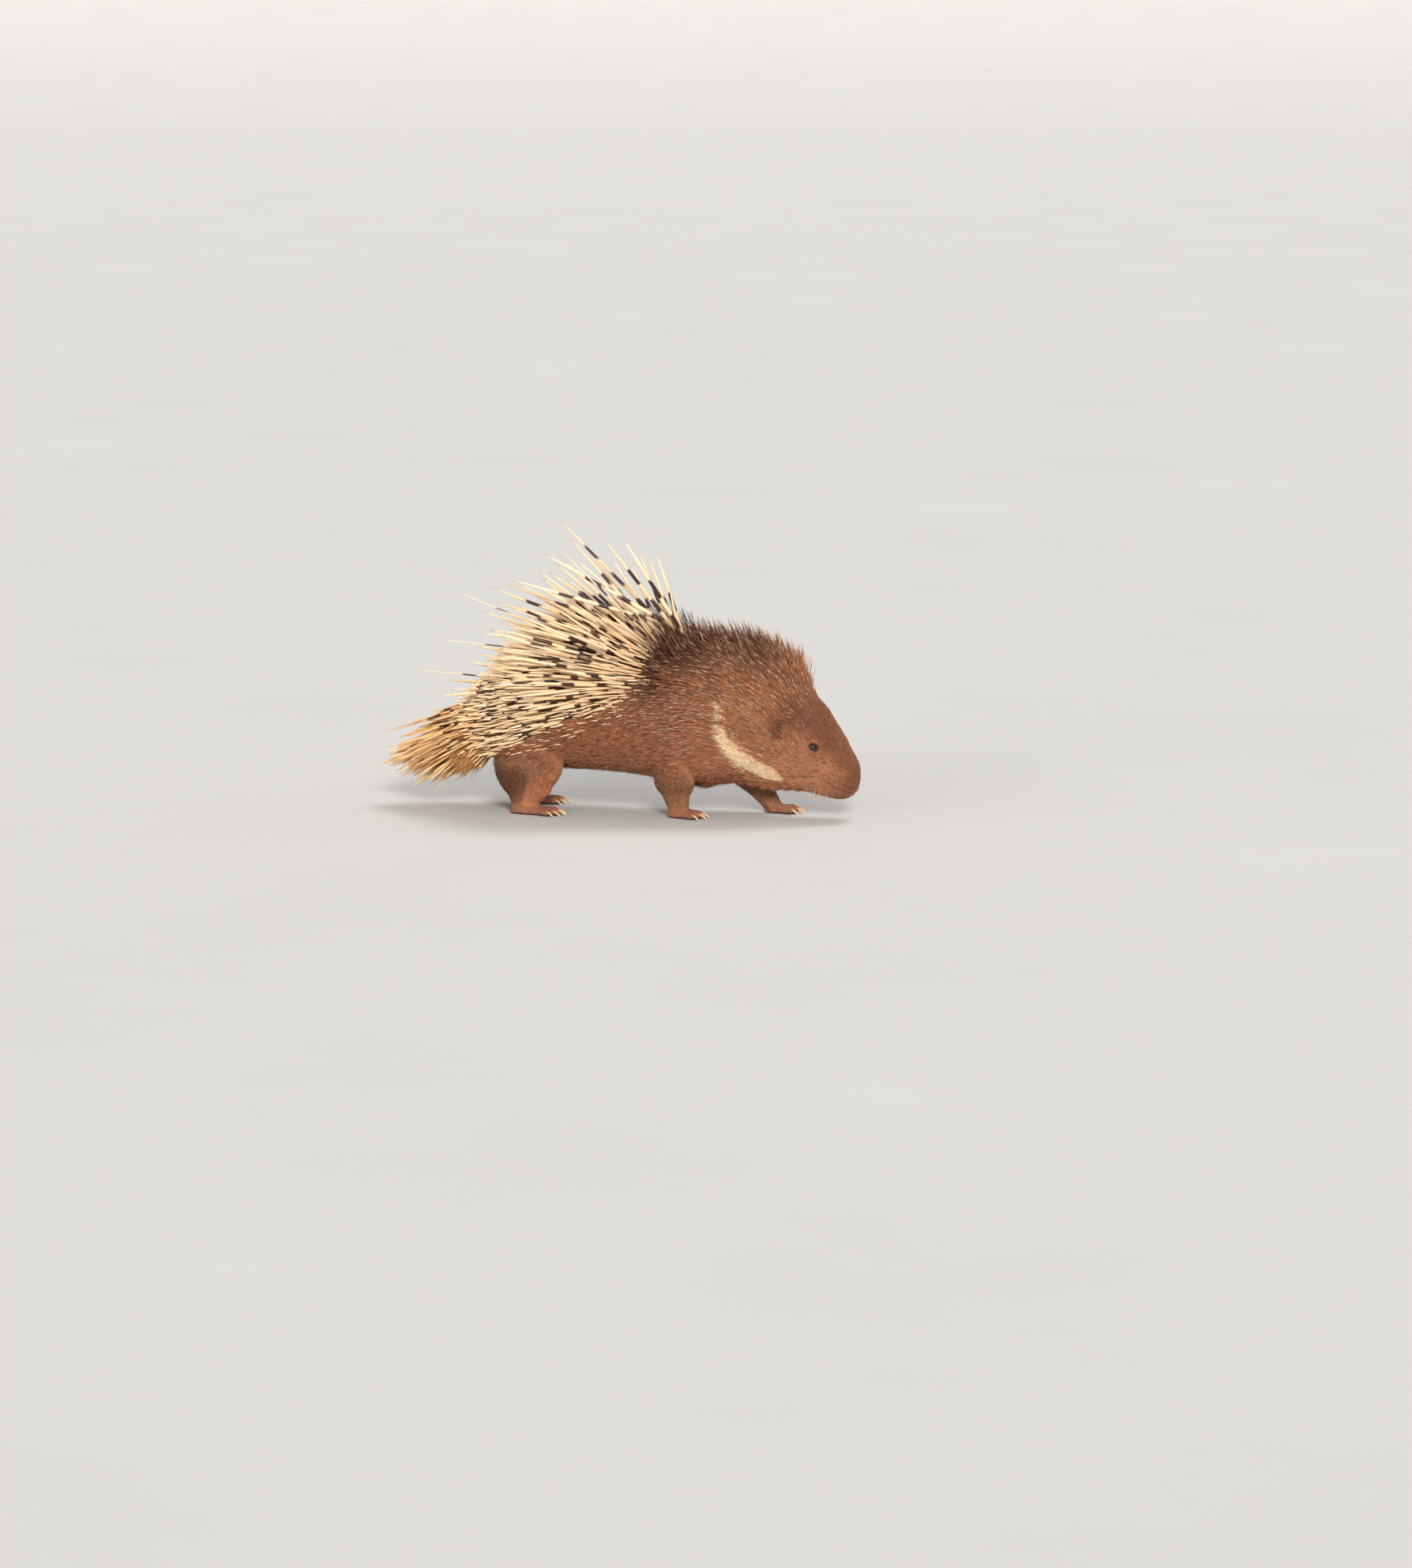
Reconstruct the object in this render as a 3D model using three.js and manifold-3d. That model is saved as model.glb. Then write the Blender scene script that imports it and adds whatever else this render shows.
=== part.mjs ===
// A life-size porcupine walking with its head low, as closed solids in millimetres.
// +X is towards the head, +Y is the animal's left side, +Z is up, and the soles stand at Z = 0.
// Each solid gives the outline of the coat, out to the tips of the hair and quills.
import * as THREE from "three";
import { mergeVertices } from "three/addons/utils/BufferGeometryUtils.js";
import Module from "manifold-3d";

const wasm = await Module();
wasm.setup();

// ---------------------------------------------------------------- driving sizes
const GAP = 0.4; // between touching pieces
const BODY_SIDES = 20; // sides round the trunk, neck and head
const LEG_SIDES = 10;
const TOE_SIDES = 6;
const EYE_RADIUS = 7.2;
const EYE = { x: 333, y: 39.6, z: 118 }; // centre of the left eyeball
const EAR = { x: 287, y: 58, z: 142, tall: 17, wide: 13, deep: 7, wall: 2.2 };
const CENTRE_SHIFT = { x: -9.579, y: 0 }; // puts the middle of the model's box over the origin

// The body from tail root to nose: x and z of the section's centre, its tilt in degrees,
// how far it reaches up and down from the centre, and its half width.
const BODY = {
  tail_root: [-234, 120, 0, 18, 17, 20],
  croup_end: [-226, 127, 0, 38, 34, 44],
  croup: [-206, 136, 0, 62, 55, 74],
  rump: [-172, 144, 0, 84, 74, 98],
  hips: [-122, 150, 0, 101, 86, 111],
  loin: [-60, 153, 0, 110, 90, 117],
  mid_back: [0, 155, 0, 115, 94, 116],
  ribs: [60, 157, 0, 118, 102, 111],
  withers: [120, 159, 0, 120, 115, 104],
  shoulder: [165, 158, -3, 124, 119, 96],
  neck: [205, 147, -14, 137, 106, 86],
  nape: [247, 131, -24, 137, 91, 74],
  ears: [288, 113, -25, 99, 79, 62],
  cheeks: [312, 98, -26, 87, 63, 51],
  eyes: [336, 88.5, -26, 69, 54, 43],
  muzzle: [360.5, 76, -29, 50, 46, 37],
  nose: [381, 64, -29, 38, 37, 31.5],
  nose_tip: [394, 60, -22, 28, 27, 23],
  lips: [403, 60, -15, 14, 13, 12],
};
const NECK_FROM = 9.45; // the cuts, as places along the sections above
const HEAD_FROM = 11.35;
const CUT = 0.012; // half of each cut, in sections

// The legs from top to bottom: x, y, z of the section's centre, half length and half width.
const FRONT_RIGHT = {
  shoulder: [128, -54, 152, 40, 30],
  upper_arm: [121, -58, 118, 43, 30],
  elbow: [115, -56, 84, 42, 27],
  forearm: [114, -50, 54, 36, 23.5],
  lower_arm: [115, -46, 37, 26, 19],
  wrist: [117, -43, 20, 20, 16.5],
  heel: [119, -43, 8, 17, 15],
};
const FRONT_LEFT = {
  shoulder: [158, 52, 146, 42, 30],
  upper_arm: [172, 56, 112, 46, 30],
  elbow: [192, 54, 82, 44, 27],
  forearm: [212, 49, 54, 38, 23.5],
  lower_arm: [230, 45, 35, 28, 19],
  wrist: [245, 42, 19, 20, 16.5],
  heel: [253, 42, 8, 17, 15],
};
const HIND_RIGHT = {
  hip: [-118, -62, 156, 50, 32],
  thigh: [-115, -70, 118, 62, 36],
  knee_top: [-116, -70, 90, 64, 33],
  knee: [-119, -66, 66, 58, 29],
  shank: [-123, -60, 46, 46, 24],
  ankle: [-122, -56, 31, 36, 19.5],
  heel_top: [-127, -54, 18, 25, 17.5],
  heel: [-130, -54, 8, 22, 17],
};
const HIND_LEFT = {
  hip: [-134, 62, 156, 50, 32],
  thigh: [-136, 70, 118, 60, 36],
  knee_top: [-140, 70, 90, 60, 33],
  knee: [-144, 66, 66, 54, 29],
  shank: [-148, 60, 46, 44, 24],
  ankle: [-147, 56, 31, 35, 19.5],
  heel_top: [-151, 54, 18, 25, 17.5],
  heel: [-154, 54, 8, 22, 17],
};

// The feet: heel, y, length of the sole without toes, half width, height, and the toes' spread in degrees.
const FEET = {
  front_right: { x: 101, y: -43, turn: -4, sole: 42, half: 17, tall: 17, toes: [-22, -8, 6, 20], toe: 18, girth: 6.2, claw: 11 },
  front_left: { x: 237, y: 42, turn: 4, sole: 42, half: 17, tall: 18, toes: [-20, -6, 8, 22], toe: 18, girth: 6.2, claw: 11 },
  hind_right: { x: -152, y: -54, turn: -6, sole: 66, half: 18, tall: 17, toes: [-26, -13, -1, 11, 24], toe: 18, girth: 5.9, claw: 12 },
  hind_left: { x: -176, y: 54, turn: 6, sole: 66, half: 18, tall: 17, toes: [-24, -11, 1, 13, 26], toe: 18, girth: 5.9, claw: 12 },
};

// The quills spread like the ribs of a fan from a point inside the shoulders. Each row gives the
// turn of the ribs from straight ahead, in degrees, and how far their tips reach from that point.
const FAN = {
  centre: [140, 0, 180],
  reach: [
    [98, 190], [104, 236], [110, 260], [116, 284], [122, 306], [128, 350], [136, 352], [143, 350], [150, 368],
    [158, 384], [166, 416], [172, 434], [178, 430], [184, 426], [190, 418], [196, 390], [202, 350], [208, 316],
  ],
  from: 98, to: 205, rows: 20, spread: 41, columns: 17, valley: 0.8,
};
const TAIL = {
  centre: [-186, 0, 138],
  reach: [[166, 108], [176, 142], [184, 170], [190, 190], [196, 206], [202, 216], [208, 206], [214, 190], [222, 168], [232, 138], [240, 100]],
  from: 168, to: 236, rows: 11, spread: 29, columns: 11, valley: 0.76,
};
const CREST = {
  centre: [196, 0, 120],
  reach: [[40, 160], [50, 174], [60, 188], [72, 196], [86, 197], [98, 206], [108, 222], [116, 240]],
  from: 42, to: 116, rows: 11, spread: 25, columns: 7, valley: 0.88,
};

// ---------------------------------------------------------------- shape tools
const V = (x, y, z) => new THREE.Vector3(x, y, z);

function solid(geometry) {
  const g = geometry.clone();
  for (const name of Object.keys(g.attributes)) if (name !== "position") g.deleteAttribute(name);
  const merged = mergeVertices(g, 1e-4);
  return new wasm.Manifold(
    new wasm.Mesh({
      numProp: 3,
      vertProperties: merged.attributes.position.array,
      triVerts: new Uint32Array(merged.index.array),
    }),
  );
}

function geometryOf(made) {
  const whole = made.decompose().sort((a, b) => b.volume() - a.volume())[0];
  const m = whole.getMesh();
  const points = new Float32Array(m.numVert * 3);
  for (let i = 0; i < m.numVert; i++) points.set(m.vertProperties.subarray(i * m.numProp, i * m.numProp + 3), i * 3);
  const g = new THREE.BufferGeometry();
  g.setAttribute("position", new THREE.BufferAttribute(points, 3));
  g.setIndex(new THREE.BufferAttribute(new Uint32Array(m.triVerts), 1));
  g.computeVertexNormals();
  return g;
}

// A value between the rows of a table, smoothly (Catmull-Rom) or straight.
function between(rows, s) {
  const i = Math.min(Math.floor(s), rows.length - 2);
  const t = s - i;
  const at = (k) => rows[Math.max(0, Math.min(rows.length - 1, k))];
  return rows[0].map((_, k) => {
    const [a, b, c, d] = [at(i - 1)[k], at(i)[k], at(i + 1)[k], at(i + 2)[k]];
    return b + 0.5 * t * (c - a + t * (2 * a - 5 * b + 4 * c - d + t * (3 * (b - c) + d - a)));
  });
}
function along(rows, x) {
  let i = 0;
  while (i < rows.length - 2 && x > rows[i + 1][0]) i++;
  const t = (x - rows[i][0]) / (rows[i + 1][0] - rows[i][0]);
  return rows[i][1] + (rows[i + 1][1] - rows[i][1]) * Math.max(0, Math.min(1, t));
}

// A closed skin over rings that all have the same number of points, with a flat end at each side.
function skinOver(rings) {
  const n = rings[0].length;
  const points = rings.flat();
  const middle = (ring) => ring.reduce((sum, p) => sum.add(p), V(0, 0, 0)).divideScalar(n);
  points.push(middle(rings[0]), middle(rings[rings.length - 1]));
  const faces = [];
  for (let r = 0; r + 1 < rings.length; r++)
    for (let k = 0; k < n; k++) {
      const a = r * n + k, b = r * n + ((k + 1) % n), c = a + n, d = b + n;
      faces.push(a, b, d, a, d, c);
    }
  const first = points.length - 2, last = points.length - 1, top = (rings.length - 1) * n;
  for (let k = 0; k < n; k++) {
    faces.push(first, (k + 1) % n, k);
    faces.push(last, top + k, top + ((k + 1) % n));
  }
  const g = new THREE.BufferGeometry().setFromPoints(points);
  g.setIndex(faces);
  const made = solid(g);
  if (made.volume() > 0) return made;
  for (let i = 0; i < faces.length; i += 3) [faces[i + 1], faces[i + 2]] = [faces[i + 2], faces[i + 1]];
  g.setIndex(faces);
  return solid(g);
}

// One ring of the body: a rounded section across the spine.
function bodyRing(row, grow) {
  const [x, z, tilt, up, down, half] = row;
  const a = THREE.MathUtils.degToRad(tilt);
  const n = V(-Math.sin(a), 0, Math.cos(a));
  const ring = [];
  for (let k = 0; k < BODY_SIDES; k++) {
    const w = (2 * Math.PI * k) / BODY_SIDES;
    const c = Math.cos(w), s = Math.sin(w), p = 2 / 2.15;
    const y = Math.sign(c) * Math.abs(c) ** p * (half + grow);
    const h = Math.sign(s) * Math.abs(s) ** p * ((s > 0 ? up : down) + grow);
    ring.push(V(x, y, z).addScaledVector(n, h));
  }
  return ring;
}
function bodyPiece(from, to, steps, grow = 0) {
  const rows = Object.values(BODY), rings = [];
  for (let i = 0; i <= steps; i++) rings.push(bodyRing(between(rows, from + ((to - from) * i) / steps), grow));
  if (grow) {
    rings.unshift(rings[0].map((p) => p.clone().add(V(-grow, 0, 0))));
    rings.push(rings[rings.length - 1].map((p) => p.clone().add(V(grow, 0, 0))));
  }
  return skinOver(rings);
}

// A leg: rings that lie level, one above another.
function limb(table, grow = 0) {
  const rows = Object.values(table), rings = [], steps = rows.length + 1;
  for (let i = 0; i <= steps; i++) {
    const [x, y, z, long, wide] = between(rows, (i * (rows.length - 1)) / steps);
    rings.push(
      Array.from({ length: LEG_SIDES }, (_, k) => {
        const w = (2 * Math.PI * k) / LEG_SIDES;
        return V(x + Math.cos(w) * (long + grow), y + Math.sin(w) * (wide + grow), z);
      }),
    );
  }
  return skinOver(rings);
}

// A tapered round rod through points with a radius at each, used for toes and claws.
function rod(points, radii, sides, flat = 1) {
  const curve = new THREE.CatmullRomCurve3(points);
  const rings = points.map((p, i) => {
    const t = curve.getTangent(i / (points.length - 1));
    const side = V(0, 0, 1).cross(t).normalize();
    const up = t.clone().cross(side);
    return Array.from({ length: sides }, (_, k) => {
      const w = (2 * Math.PI * (k + 0.5)) / sides;
      return p.clone().addScaledVector(side, Math.cos(w) * radii[i] * flat).addScaledVector(up, Math.sin(w) * radii[i]);
    });
  });
  return skinOver(rings);
}

const floorBlock = solid(new THREE.BoxGeometry(1400, 900, 200).translate(0, 0, -100));

// A foot: a low pad with a flat sole, and its toes.
function foot(f, grow = 0) {
  const turn = THREE.MathUtils.degToRad(f.turn);
  const place = (p) => p.applyAxisAngle(V(0, 0, 1), turn).add(V(f.x, f.y, 0));
  const pad = [[1, 0.3, 0.55], [7, 0.66, 0.95], [20, 0.82, 1.12], [f.sole * 0.72, 0.98, 0.82], [f.sole + 3, 0.92, 0.52], [f.sole + 8, 0.6, 0.34]];
  const rings = pad.map(([x, w, h]) =>
    Array.from({ length: 8 }, (_, k) => {
      const a = (2 * Math.PI * (k + 0.5)) / 8;
      const z = Math.sin(a) > 0 ? 5 + Math.sin(a) * (f.tall * h - 5 + grow) : 5 + Math.sin(a) * (6.5 + grow);
      return place(V(x, Math.cos(a) * (f.half * w + grow), z));
    }),
  );
  let made = skinOver(rings);
  for (const t of toePaths(f)) made = made.add(rod(t.points.map((p) => p.clone()), t.radii.map((r) => r + grow), TOE_SIDES));
  return made;
}
function toePaths(f) {
  return f.toes.map((spread, i) => {
    const turn = THREE.MathUtils.degToRad(f.turn);
    const share = f.toes.length === 1 ? 0 : i / (f.toes.length - 1) - 0.5;
    const a = THREE.MathUtils.degToRad(spread);
    const short = 1 - 1.1 * share * share; // the outer toes are shorter
    const reach = f.toe * short;
    const start = V(f.sole - 5 - 9 * Math.abs(share), share * f.half * 1.55, 0);
    const way = V(Math.cos(a), Math.sin(a), 0);
    const place = (d, z) => start.clone().addScaledVector(way, d).setZ(z).applyAxisAngle(V(0, 0, 1), turn).add(V(f.x, f.y, 0));
    const r = f.girth;
    return {
      points: [place(-2, r + 0.6), place(reach * 0.5, r + 1.4), place(reach + 1, r - 1.2), place(reach + 4, r - 2.2)],
      radii: [r * 0.95, r * 1.03, r * 0.86, r * 0.45],
      place, reach, r,
    };
  });
}
function claw(t, f) {
  const { place, reach, r } = t;
  const long = f.claw;
  return rod(
    [place(reach - 1, r + 2), place(reach + 4 + long * 0.3, r + 0.8), place(reach + 4 + long * 0.66, r - 2.4), place(reach + 3 + long * 0.95, 1)],
    [2.6, 2.8, 1.7, 0.5], 5, 0.8,
  );
}

// A fan of spikes round a centre: tips and valleys take turns over a grid, and the sides close on the centre.
function fan(f, grow = 0) {
  const points = [], faces = [], centre = V(...f.centre);
  for (let i = 0; i < f.rows; i++)
    for (let j = 0; j < f.columns; j++) {
      const edge = i === 0 || i === f.rows - 1 || j === 0 || j === f.columns - 1;
      const turn = f.from + ((f.to - f.from) * i) / (f.rows - 1);
      const share = (2 * j) / (f.columns - 1) - 1;
      const narrow = 1 - 0.45 * Math.max(0, (i / (f.rows - 1) - 0.72) / 0.28);
      const side = THREE.MathUtils.degToRad(share * f.spread * narrow);
      const tip = (i + j) % 2 === 0;
      const off = Math.abs(2 * j - f.columns + 1); // the two sides match
      const waver = 1 + 0.032 * Math.sin(i * 2.4 + off * 1.9) + 0.024 * Math.sin(i * 5.1 - off * 2.7);
      const falls = 1 - 0.24 * share * share - 0.12 * share ** 6;
      const reach = along(f.reach, turn) * falls * (tip && !edge ? waver : f.valley * (edge ? 0.94 : 1)) + grow;
      const a = THREE.MathUtils.degToRad(turn);
      points.push(centre.clone().add(V(Math.cos(a) * Math.cos(side), Math.sin(side), Math.sin(a) * Math.cos(side)).multiplyScalar(reach)));
    }
  const at = (i, j) => i * f.columns + j;
  for (let i = 0; i + 1 < f.rows; i++)
    for (let j = 0; j + 1 < f.columns; j++) {
      const [a, b, c, d] = [at(i, j), at(i, j + 1), at(i + 1, j + 1), at(i + 1, j)];
      if ((i + j) % 2 === 0) faces.push(a, b, d, b, c, d); // the fold joins the two valleys
      else faces.push(a, b, c, a, c, d);
    }
  const rim = [];
  for (let j = 0; j < f.columns - 1; j++) rim.push(at(0, j));
  for (let i = 0; i < f.rows - 1; i++) rim.push(at(i, f.columns - 1));
  for (let j = f.columns - 1; j > 0; j--) rim.push(at(f.rows - 1, j));
  for (let i = f.rows - 1; i > 0; i--) rim.push(at(i, 0));
  points.push(centre);
  for (let k = 0; k < rim.length; k++) faces.push(rim[(k + 1) % rim.length], rim[k], points.length - 1);
  const g = new THREE.BufferGeometry().setFromPoints(points);
  g.setIndex(faces);
  let made = solid(g);
  if (made.volume() < 0) {
    for (let i = 0; i < faces.length; i += 3) [faces[i + 1], faces[i + 2]] = [faces[i + 2], faces[i + 1]];
    g.setIndex(faces);
    made = solid(g);
  }
  return made;
}

function egg(rx, ry, rz, wide = 16, tall = 10) {
  return new THREE.SphereGeometry(1, wide, tall).scale(rx, ry, rz);
}

// ---------------------------------------------------------------- the pieces
const trunk = bodyPiece(0, NECK_FROM - CUT, 16);
const neck = bodyPiece(NECK_FROM + CUT, HEAD_FROM - CUT, 3);
const flesh = bodyPiece(0, NECK_FROM - CUT, 16, GAP) // the body grown by the gap, to cut its neighbours with
  .add(bodyPiece(NECK_FROM + CUT, HEAD_FROM - CUT, 3, GAP))
  .add(bodyPiece(HEAD_FROM + CUT, 18, 11, GAP));

const eyeSocket = (s) => solid(new THREE.SphereGeometry(EYE_RADIUS + GAP, 12, 8).translate(EYE.x, s * EYE.y, EYE.z));
const nostril = (s) => solid(egg(5, 2.4, 3.2, 8, 6).rotateZ(s * 0.6).translate(402, s * 11, 73));
const head = bodyPiece(HEAD_FROM + CUT, 18, 11)
  .subtract(eyeSocket(1)).subtract(eyeSocket(-1)).subtract(nostril(1)).subtract(nostril(-1));

function ear(s) {
  const outer = solid(egg(EAR.wide, EAR.deep, EAR.tall, 12, 8));
  const hollow = solid(egg(EAR.wide - EAR.wall, EAR.deep - EAR.wall + 3.2, EAR.tall - EAR.wall, 10, 7).translate(2.2, 4.4, 1.5));
  const g = geometryOf(outer.subtract(hollow));
  if (s < 0) {
    g.scale(1, -1, 1);
    const index = g.index.array;
    for (let i = 0; i < index.length; i += 3) [index[i + 1], index[i + 2]] = [index[i + 2], index[i + 1]];
  }
  g.rotateX(-s * 0.3).rotateY(-0.5).rotateZ(s * -0.35).translate(EAR.x, s * (EAR.y + 6), EAR.z + 8);
  return solid(g).subtract(flesh);
}

const legTables = { front_right: FRONT_RIGHT, front_left: FRONT_LEFT, hind_right: HIND_RIGHT, hind_left: HIND_LEFT };
const legs = {}, legsGrown = {}, claws = {};
for (const [name, table] of Object.entries(legTables)) {
  const f = FEET[name];
  legs[name] = limb(table).add(foot(f)).subtract(flesh).subtract(floorBlock);
  legsGrown[name] = limb(table, GAP).add(foot(f, GAP));
  toePaths(f).forEach((t, i) => (claws[name + "_claw_" + (i + 1)] = claw(t, f).subtract(legsGrown[name])));
}

const everyLeg = Object.values(legsGrown).reduce((a, b) => a.add(b));
const mantle = fan(FAN).subtract(flesh).subtract(everyLeg);
const tail = fan(TAIL).subtract(flesh).subtract(fan(FAN, GAP + 0.4)).subtract(everyLeg);
const crest = fan(CREST).subtract(flesh).subtract(fan(FAN, GAP + 0.4));

// ---------------------------------------------------------------- the scene graph
const look = (color, roughness, metalness = 0) => new THREE.MeshStandardMaterial({ color, roughness, metalness, flatShading: true });
const FUR = look(0x5e4030, 0.9), QUILL = look(0xd9c49a, 0.45), BRISTLE = look(0x4a3226, 0.8);
const SKIN = look(0x7a5140, 0.75), EYE_LOOK = look(0x120b08, 0.05), CLAW = look(0x8c7560, 0.5);

const porcupine = new THREE.Group();
const body = new THREE.Group();
body.position.set(CENTRE_SHIFT.x, CENTRE_SHIFT.y, 0);
porcupine.add(body);
function part(name, made, material, into = body) {
  const mesh = new THREE.Mesh(made.isBufferGeometry ? made : geometryOf(made), material);
  mesh.name = name;
  into.add(mesh);
  return mesh;
}

part("trunk", trunk, FUR);
part("neck", neck, FUR);
part("quill_mantle", mantle, QUILL);
part("nape_crest", crest, BRISTLE);
part("tail", tail, QUILL);

const headGroup = new THREE.Group();
body.add(headGroup);
part("head", head, FUR, headGroup);
for (const [side, s] of [["left", 1], ["right", -1]]) {
  const eye = part("eye_" + side, new THREE.SphereGeometry(EYE_RADIUS, 12, 8), EYE_LOOK, headGroup);
  eye.position.set(EYE.x, s * EYE.y, EYE.z);
  part("ear_" + side, ear(s), SKIN, headGroup);
}
for (const [name, made] of Object.entries(legs)) {
  const leg = new THREE.Group();
  body.add(leg);
  part("leg_" + name, made, FUR, leg);
  for (const [claw, shape] of Object.entries(claws)) if (claw.startsWith(name)) part(claw, shape, CLAW, leg);
}

export default porcupine;
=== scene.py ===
"""A life-size porcupine as a still museum model: one skin, eyes, claws, and a coat of bristles and quills.

Lengths in the tables are millimetres in the animal's own frame: +X to the head, +Y to its left, +Z up.
"""

import math

import bmesh
import bpy
import numpy as np
from mathutils import Matrix, Vector
from mathutils.kdtree import KDTree


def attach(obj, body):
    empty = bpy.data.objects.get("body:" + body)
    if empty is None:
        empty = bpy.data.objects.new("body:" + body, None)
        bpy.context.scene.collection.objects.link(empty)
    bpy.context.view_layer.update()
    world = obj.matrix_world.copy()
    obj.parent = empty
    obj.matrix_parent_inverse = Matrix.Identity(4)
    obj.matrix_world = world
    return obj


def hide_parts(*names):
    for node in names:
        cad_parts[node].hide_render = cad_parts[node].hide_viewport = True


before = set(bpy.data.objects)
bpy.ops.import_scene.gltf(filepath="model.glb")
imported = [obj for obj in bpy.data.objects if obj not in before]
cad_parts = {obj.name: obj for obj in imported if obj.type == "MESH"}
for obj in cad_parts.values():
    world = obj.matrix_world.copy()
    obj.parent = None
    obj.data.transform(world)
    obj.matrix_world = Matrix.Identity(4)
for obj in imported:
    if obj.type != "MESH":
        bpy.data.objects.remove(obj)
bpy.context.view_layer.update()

SHIFT = -9.579  # the animal's frame to the model's frame, along X
SEED = 11

# ------------------------------------------------------------------ the body's sizes
# x, z, tilt, up, down, half width, and how deep the skin lies under the coat's outline
BODY = np.array(
    [
        [-234, 120, 0, 18, 17, 20, 7],
        [-226, 127, 0, 38, 34, 44, 8],
        [-206, 136, 0, 62, 55, 74, 11],
        [-172, 144, 0, 84, 74, 98, 13],
        [-122, 150, 0, 101, 86, 111, 13],
        [-60, 153, 0, 110, 90, 117, 12],
        [0, 155, 0, 115, 94, 116, 12],
        [60, 157, 0, 118, 102, 111, 12],
        [120, 159, 0, 120, 115, 104, 12],
        [165, 158, -3, 124, 119, 96, 12],
        [205, 147, -14, 137, 106, 86, 12],
        [247, 131, -24, 137, 91, 74, 11],
        [288, 113, -25, 99, 79, 62, 8],
        [312, 98, -26, 87, 63, 51, 6],
        [336, 88.5, -26, 69, 54, 43, 4.6],
        [360.5, 76, -29, 50, 46, 37, 3.8],
        [381, 64, -29, 38, 37, 31.5, 3.0],
        [394, 60, -22, 28, 27, 23, 2.2],
        [403, 60, -15, 14, 13, 12, 1.6],
    ],
    float,
)
# x, y, z, half length, half width, depth under the coat
LIMBS = {
    "front_right": [
        [128, -54, 152, 40, 30, 12],
        [121, -58, 118, 43, 30, 11],
        [115, -56, 84, 42, 27, 8],
        [114, -50, 54, 36, 23.5, 5],
        [115, -46, 37, 26, 19, 3.4],
        [117, -43, 20, 20, 16.5, 2.2],
        [119, -43, 8, 17, 15, 1.6],
    ],
    "front_left": [
        [158, 52, 146, 42, 30, 12],
        [172, 56, 112, 46, 30, 11],
        [192, 54, 82, 44, 27, 8],
        [212, 49, 54, 38, 23.5, 5],
        [230, 45, 35, 28, 19, 3.4],
        [245, 42, 19, 20, 16.5, 2.2],
        [253, 42, 8, 17, 15, 1.6],
    ],
    "hind_right": [
        [-118, -62, 156, 50, 32, 13],
        [-115, -70, 118, 62, 36, 12],
        [-116, -70, 90, 64, 33, 9],
        [-119, -66, 66, 58, 29, 6],
        [-123, -60, 46, 46, 24, 4],
        [-122, -56, 31, 36, 19.5, 2.8],
        [-127, -54, 18, 25, 17.5, 2],
        [-130, -54, 8, 22, 17, 1.6],
    ],
    "hind_left": [
        [-134, 62, 156, 50, 32, 13],
        [-136, 70, 118, 60, 36, 12],
        [-140, 70, 90, 60, 33, 9],
        [-144, 66, 66, 54, 29, 6],
        [-148, 60, 46, 44, 24, 4],
        [-147, 56, 31, 35, 19.5, 2.8],
        [-151, 54, 18, 25, 17.5, 2],
        [-154, 54, 8, 22, 17, 1.6],
    ],
}
LIMBS = {k: np.array(v, float) for k, v in LIMBS.items()}
FEET = {
    "front_right": dict(x=101, y=-43, turn=-4, sole=42, half=17, tall=17, toes=[-22, -8, 6, 20], toe=18, girth=6.2, claw=11),
    "front_left": dict(x=237, y=42, turn=4, sole=42, half=17, tall=18, toes=[-20, -6, 8, 22], toe=18, girth=6.2, claw=11),
    "hind_right": dict(x=-152, y=-54, turn=-6, sole=66, half=18, tall=17, toes=[-26, -13, -1, 11, 24], toe=18, girth=5.9, claw=12),
    "hind_left": dict(x=-176, y=54, turn=6, sole=66, half=18, tall=17, toes=[-24, -11, 1, 13, 26], toe=18, girth=5.9, claw=12),
}
STUB = np.array([[-212, 128, 24], [-236, 120, 19], [-256, 111, 14.5], [-274, 103, 10.5], [-284, 98, 5]], float)  # the tail under its quills: x, z, radius
EYE = np.array([333.0, 39.6, 118.0])
EYE_R = 7.2
EAR = dict(x=287, y=58, z=142, tall=17.0, wide=13.0, deep=7.0, wall=2.0)

FAN_C = np.array([140.0, 0.0, 180.0])  # the back quills spread like ribs from here
FAN_REACH = np.array(
    [[98, 190], [104, 236], [110, 260], [116, 284], [122, 306], [128, 342], [136, 344], [143, 346], [150, 368],
     [158, 384], [166, 416], [172, 434], [178, 430], [184, 426], [190, 418], [196, 390], [202, 350], [208, 316]], float)
TAIL_C = np.array([-186.0, 0.0, 138.0])
TAIL_REACH = np.array([[166, 108], [176, 142], [184, 170], [190, 190], [196, 204], [202, 212], [208, 203], [214, 188], [222, 168], [232, 136], [240, 100]], float)
LEAN = np.array([[100, 2], [112, 2], [120, 4], [128, 9], [140, 8], [150, 13], [160, 9], [166, 10], [172, 6], [178, 5], [186, -2], [195, -4], [205, -4]], float)  # how much flatter than that the quills lie
QUILL_EDGE = np.array([[-260, 88], [-179, 92], [-96, 128], [-70, 140], [-12, 164], [19, 174], [43, 190], [62, 212], [84, 236], [108, 254], [109, 400]], float)  # where the quills begin on the flank
COLLAR = np.array([[195, 186], [197, 162], [201, 136], [216, 112], [241, 93], [265, 78], [286, 68]], float)  # the cream stripe, x and z
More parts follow.
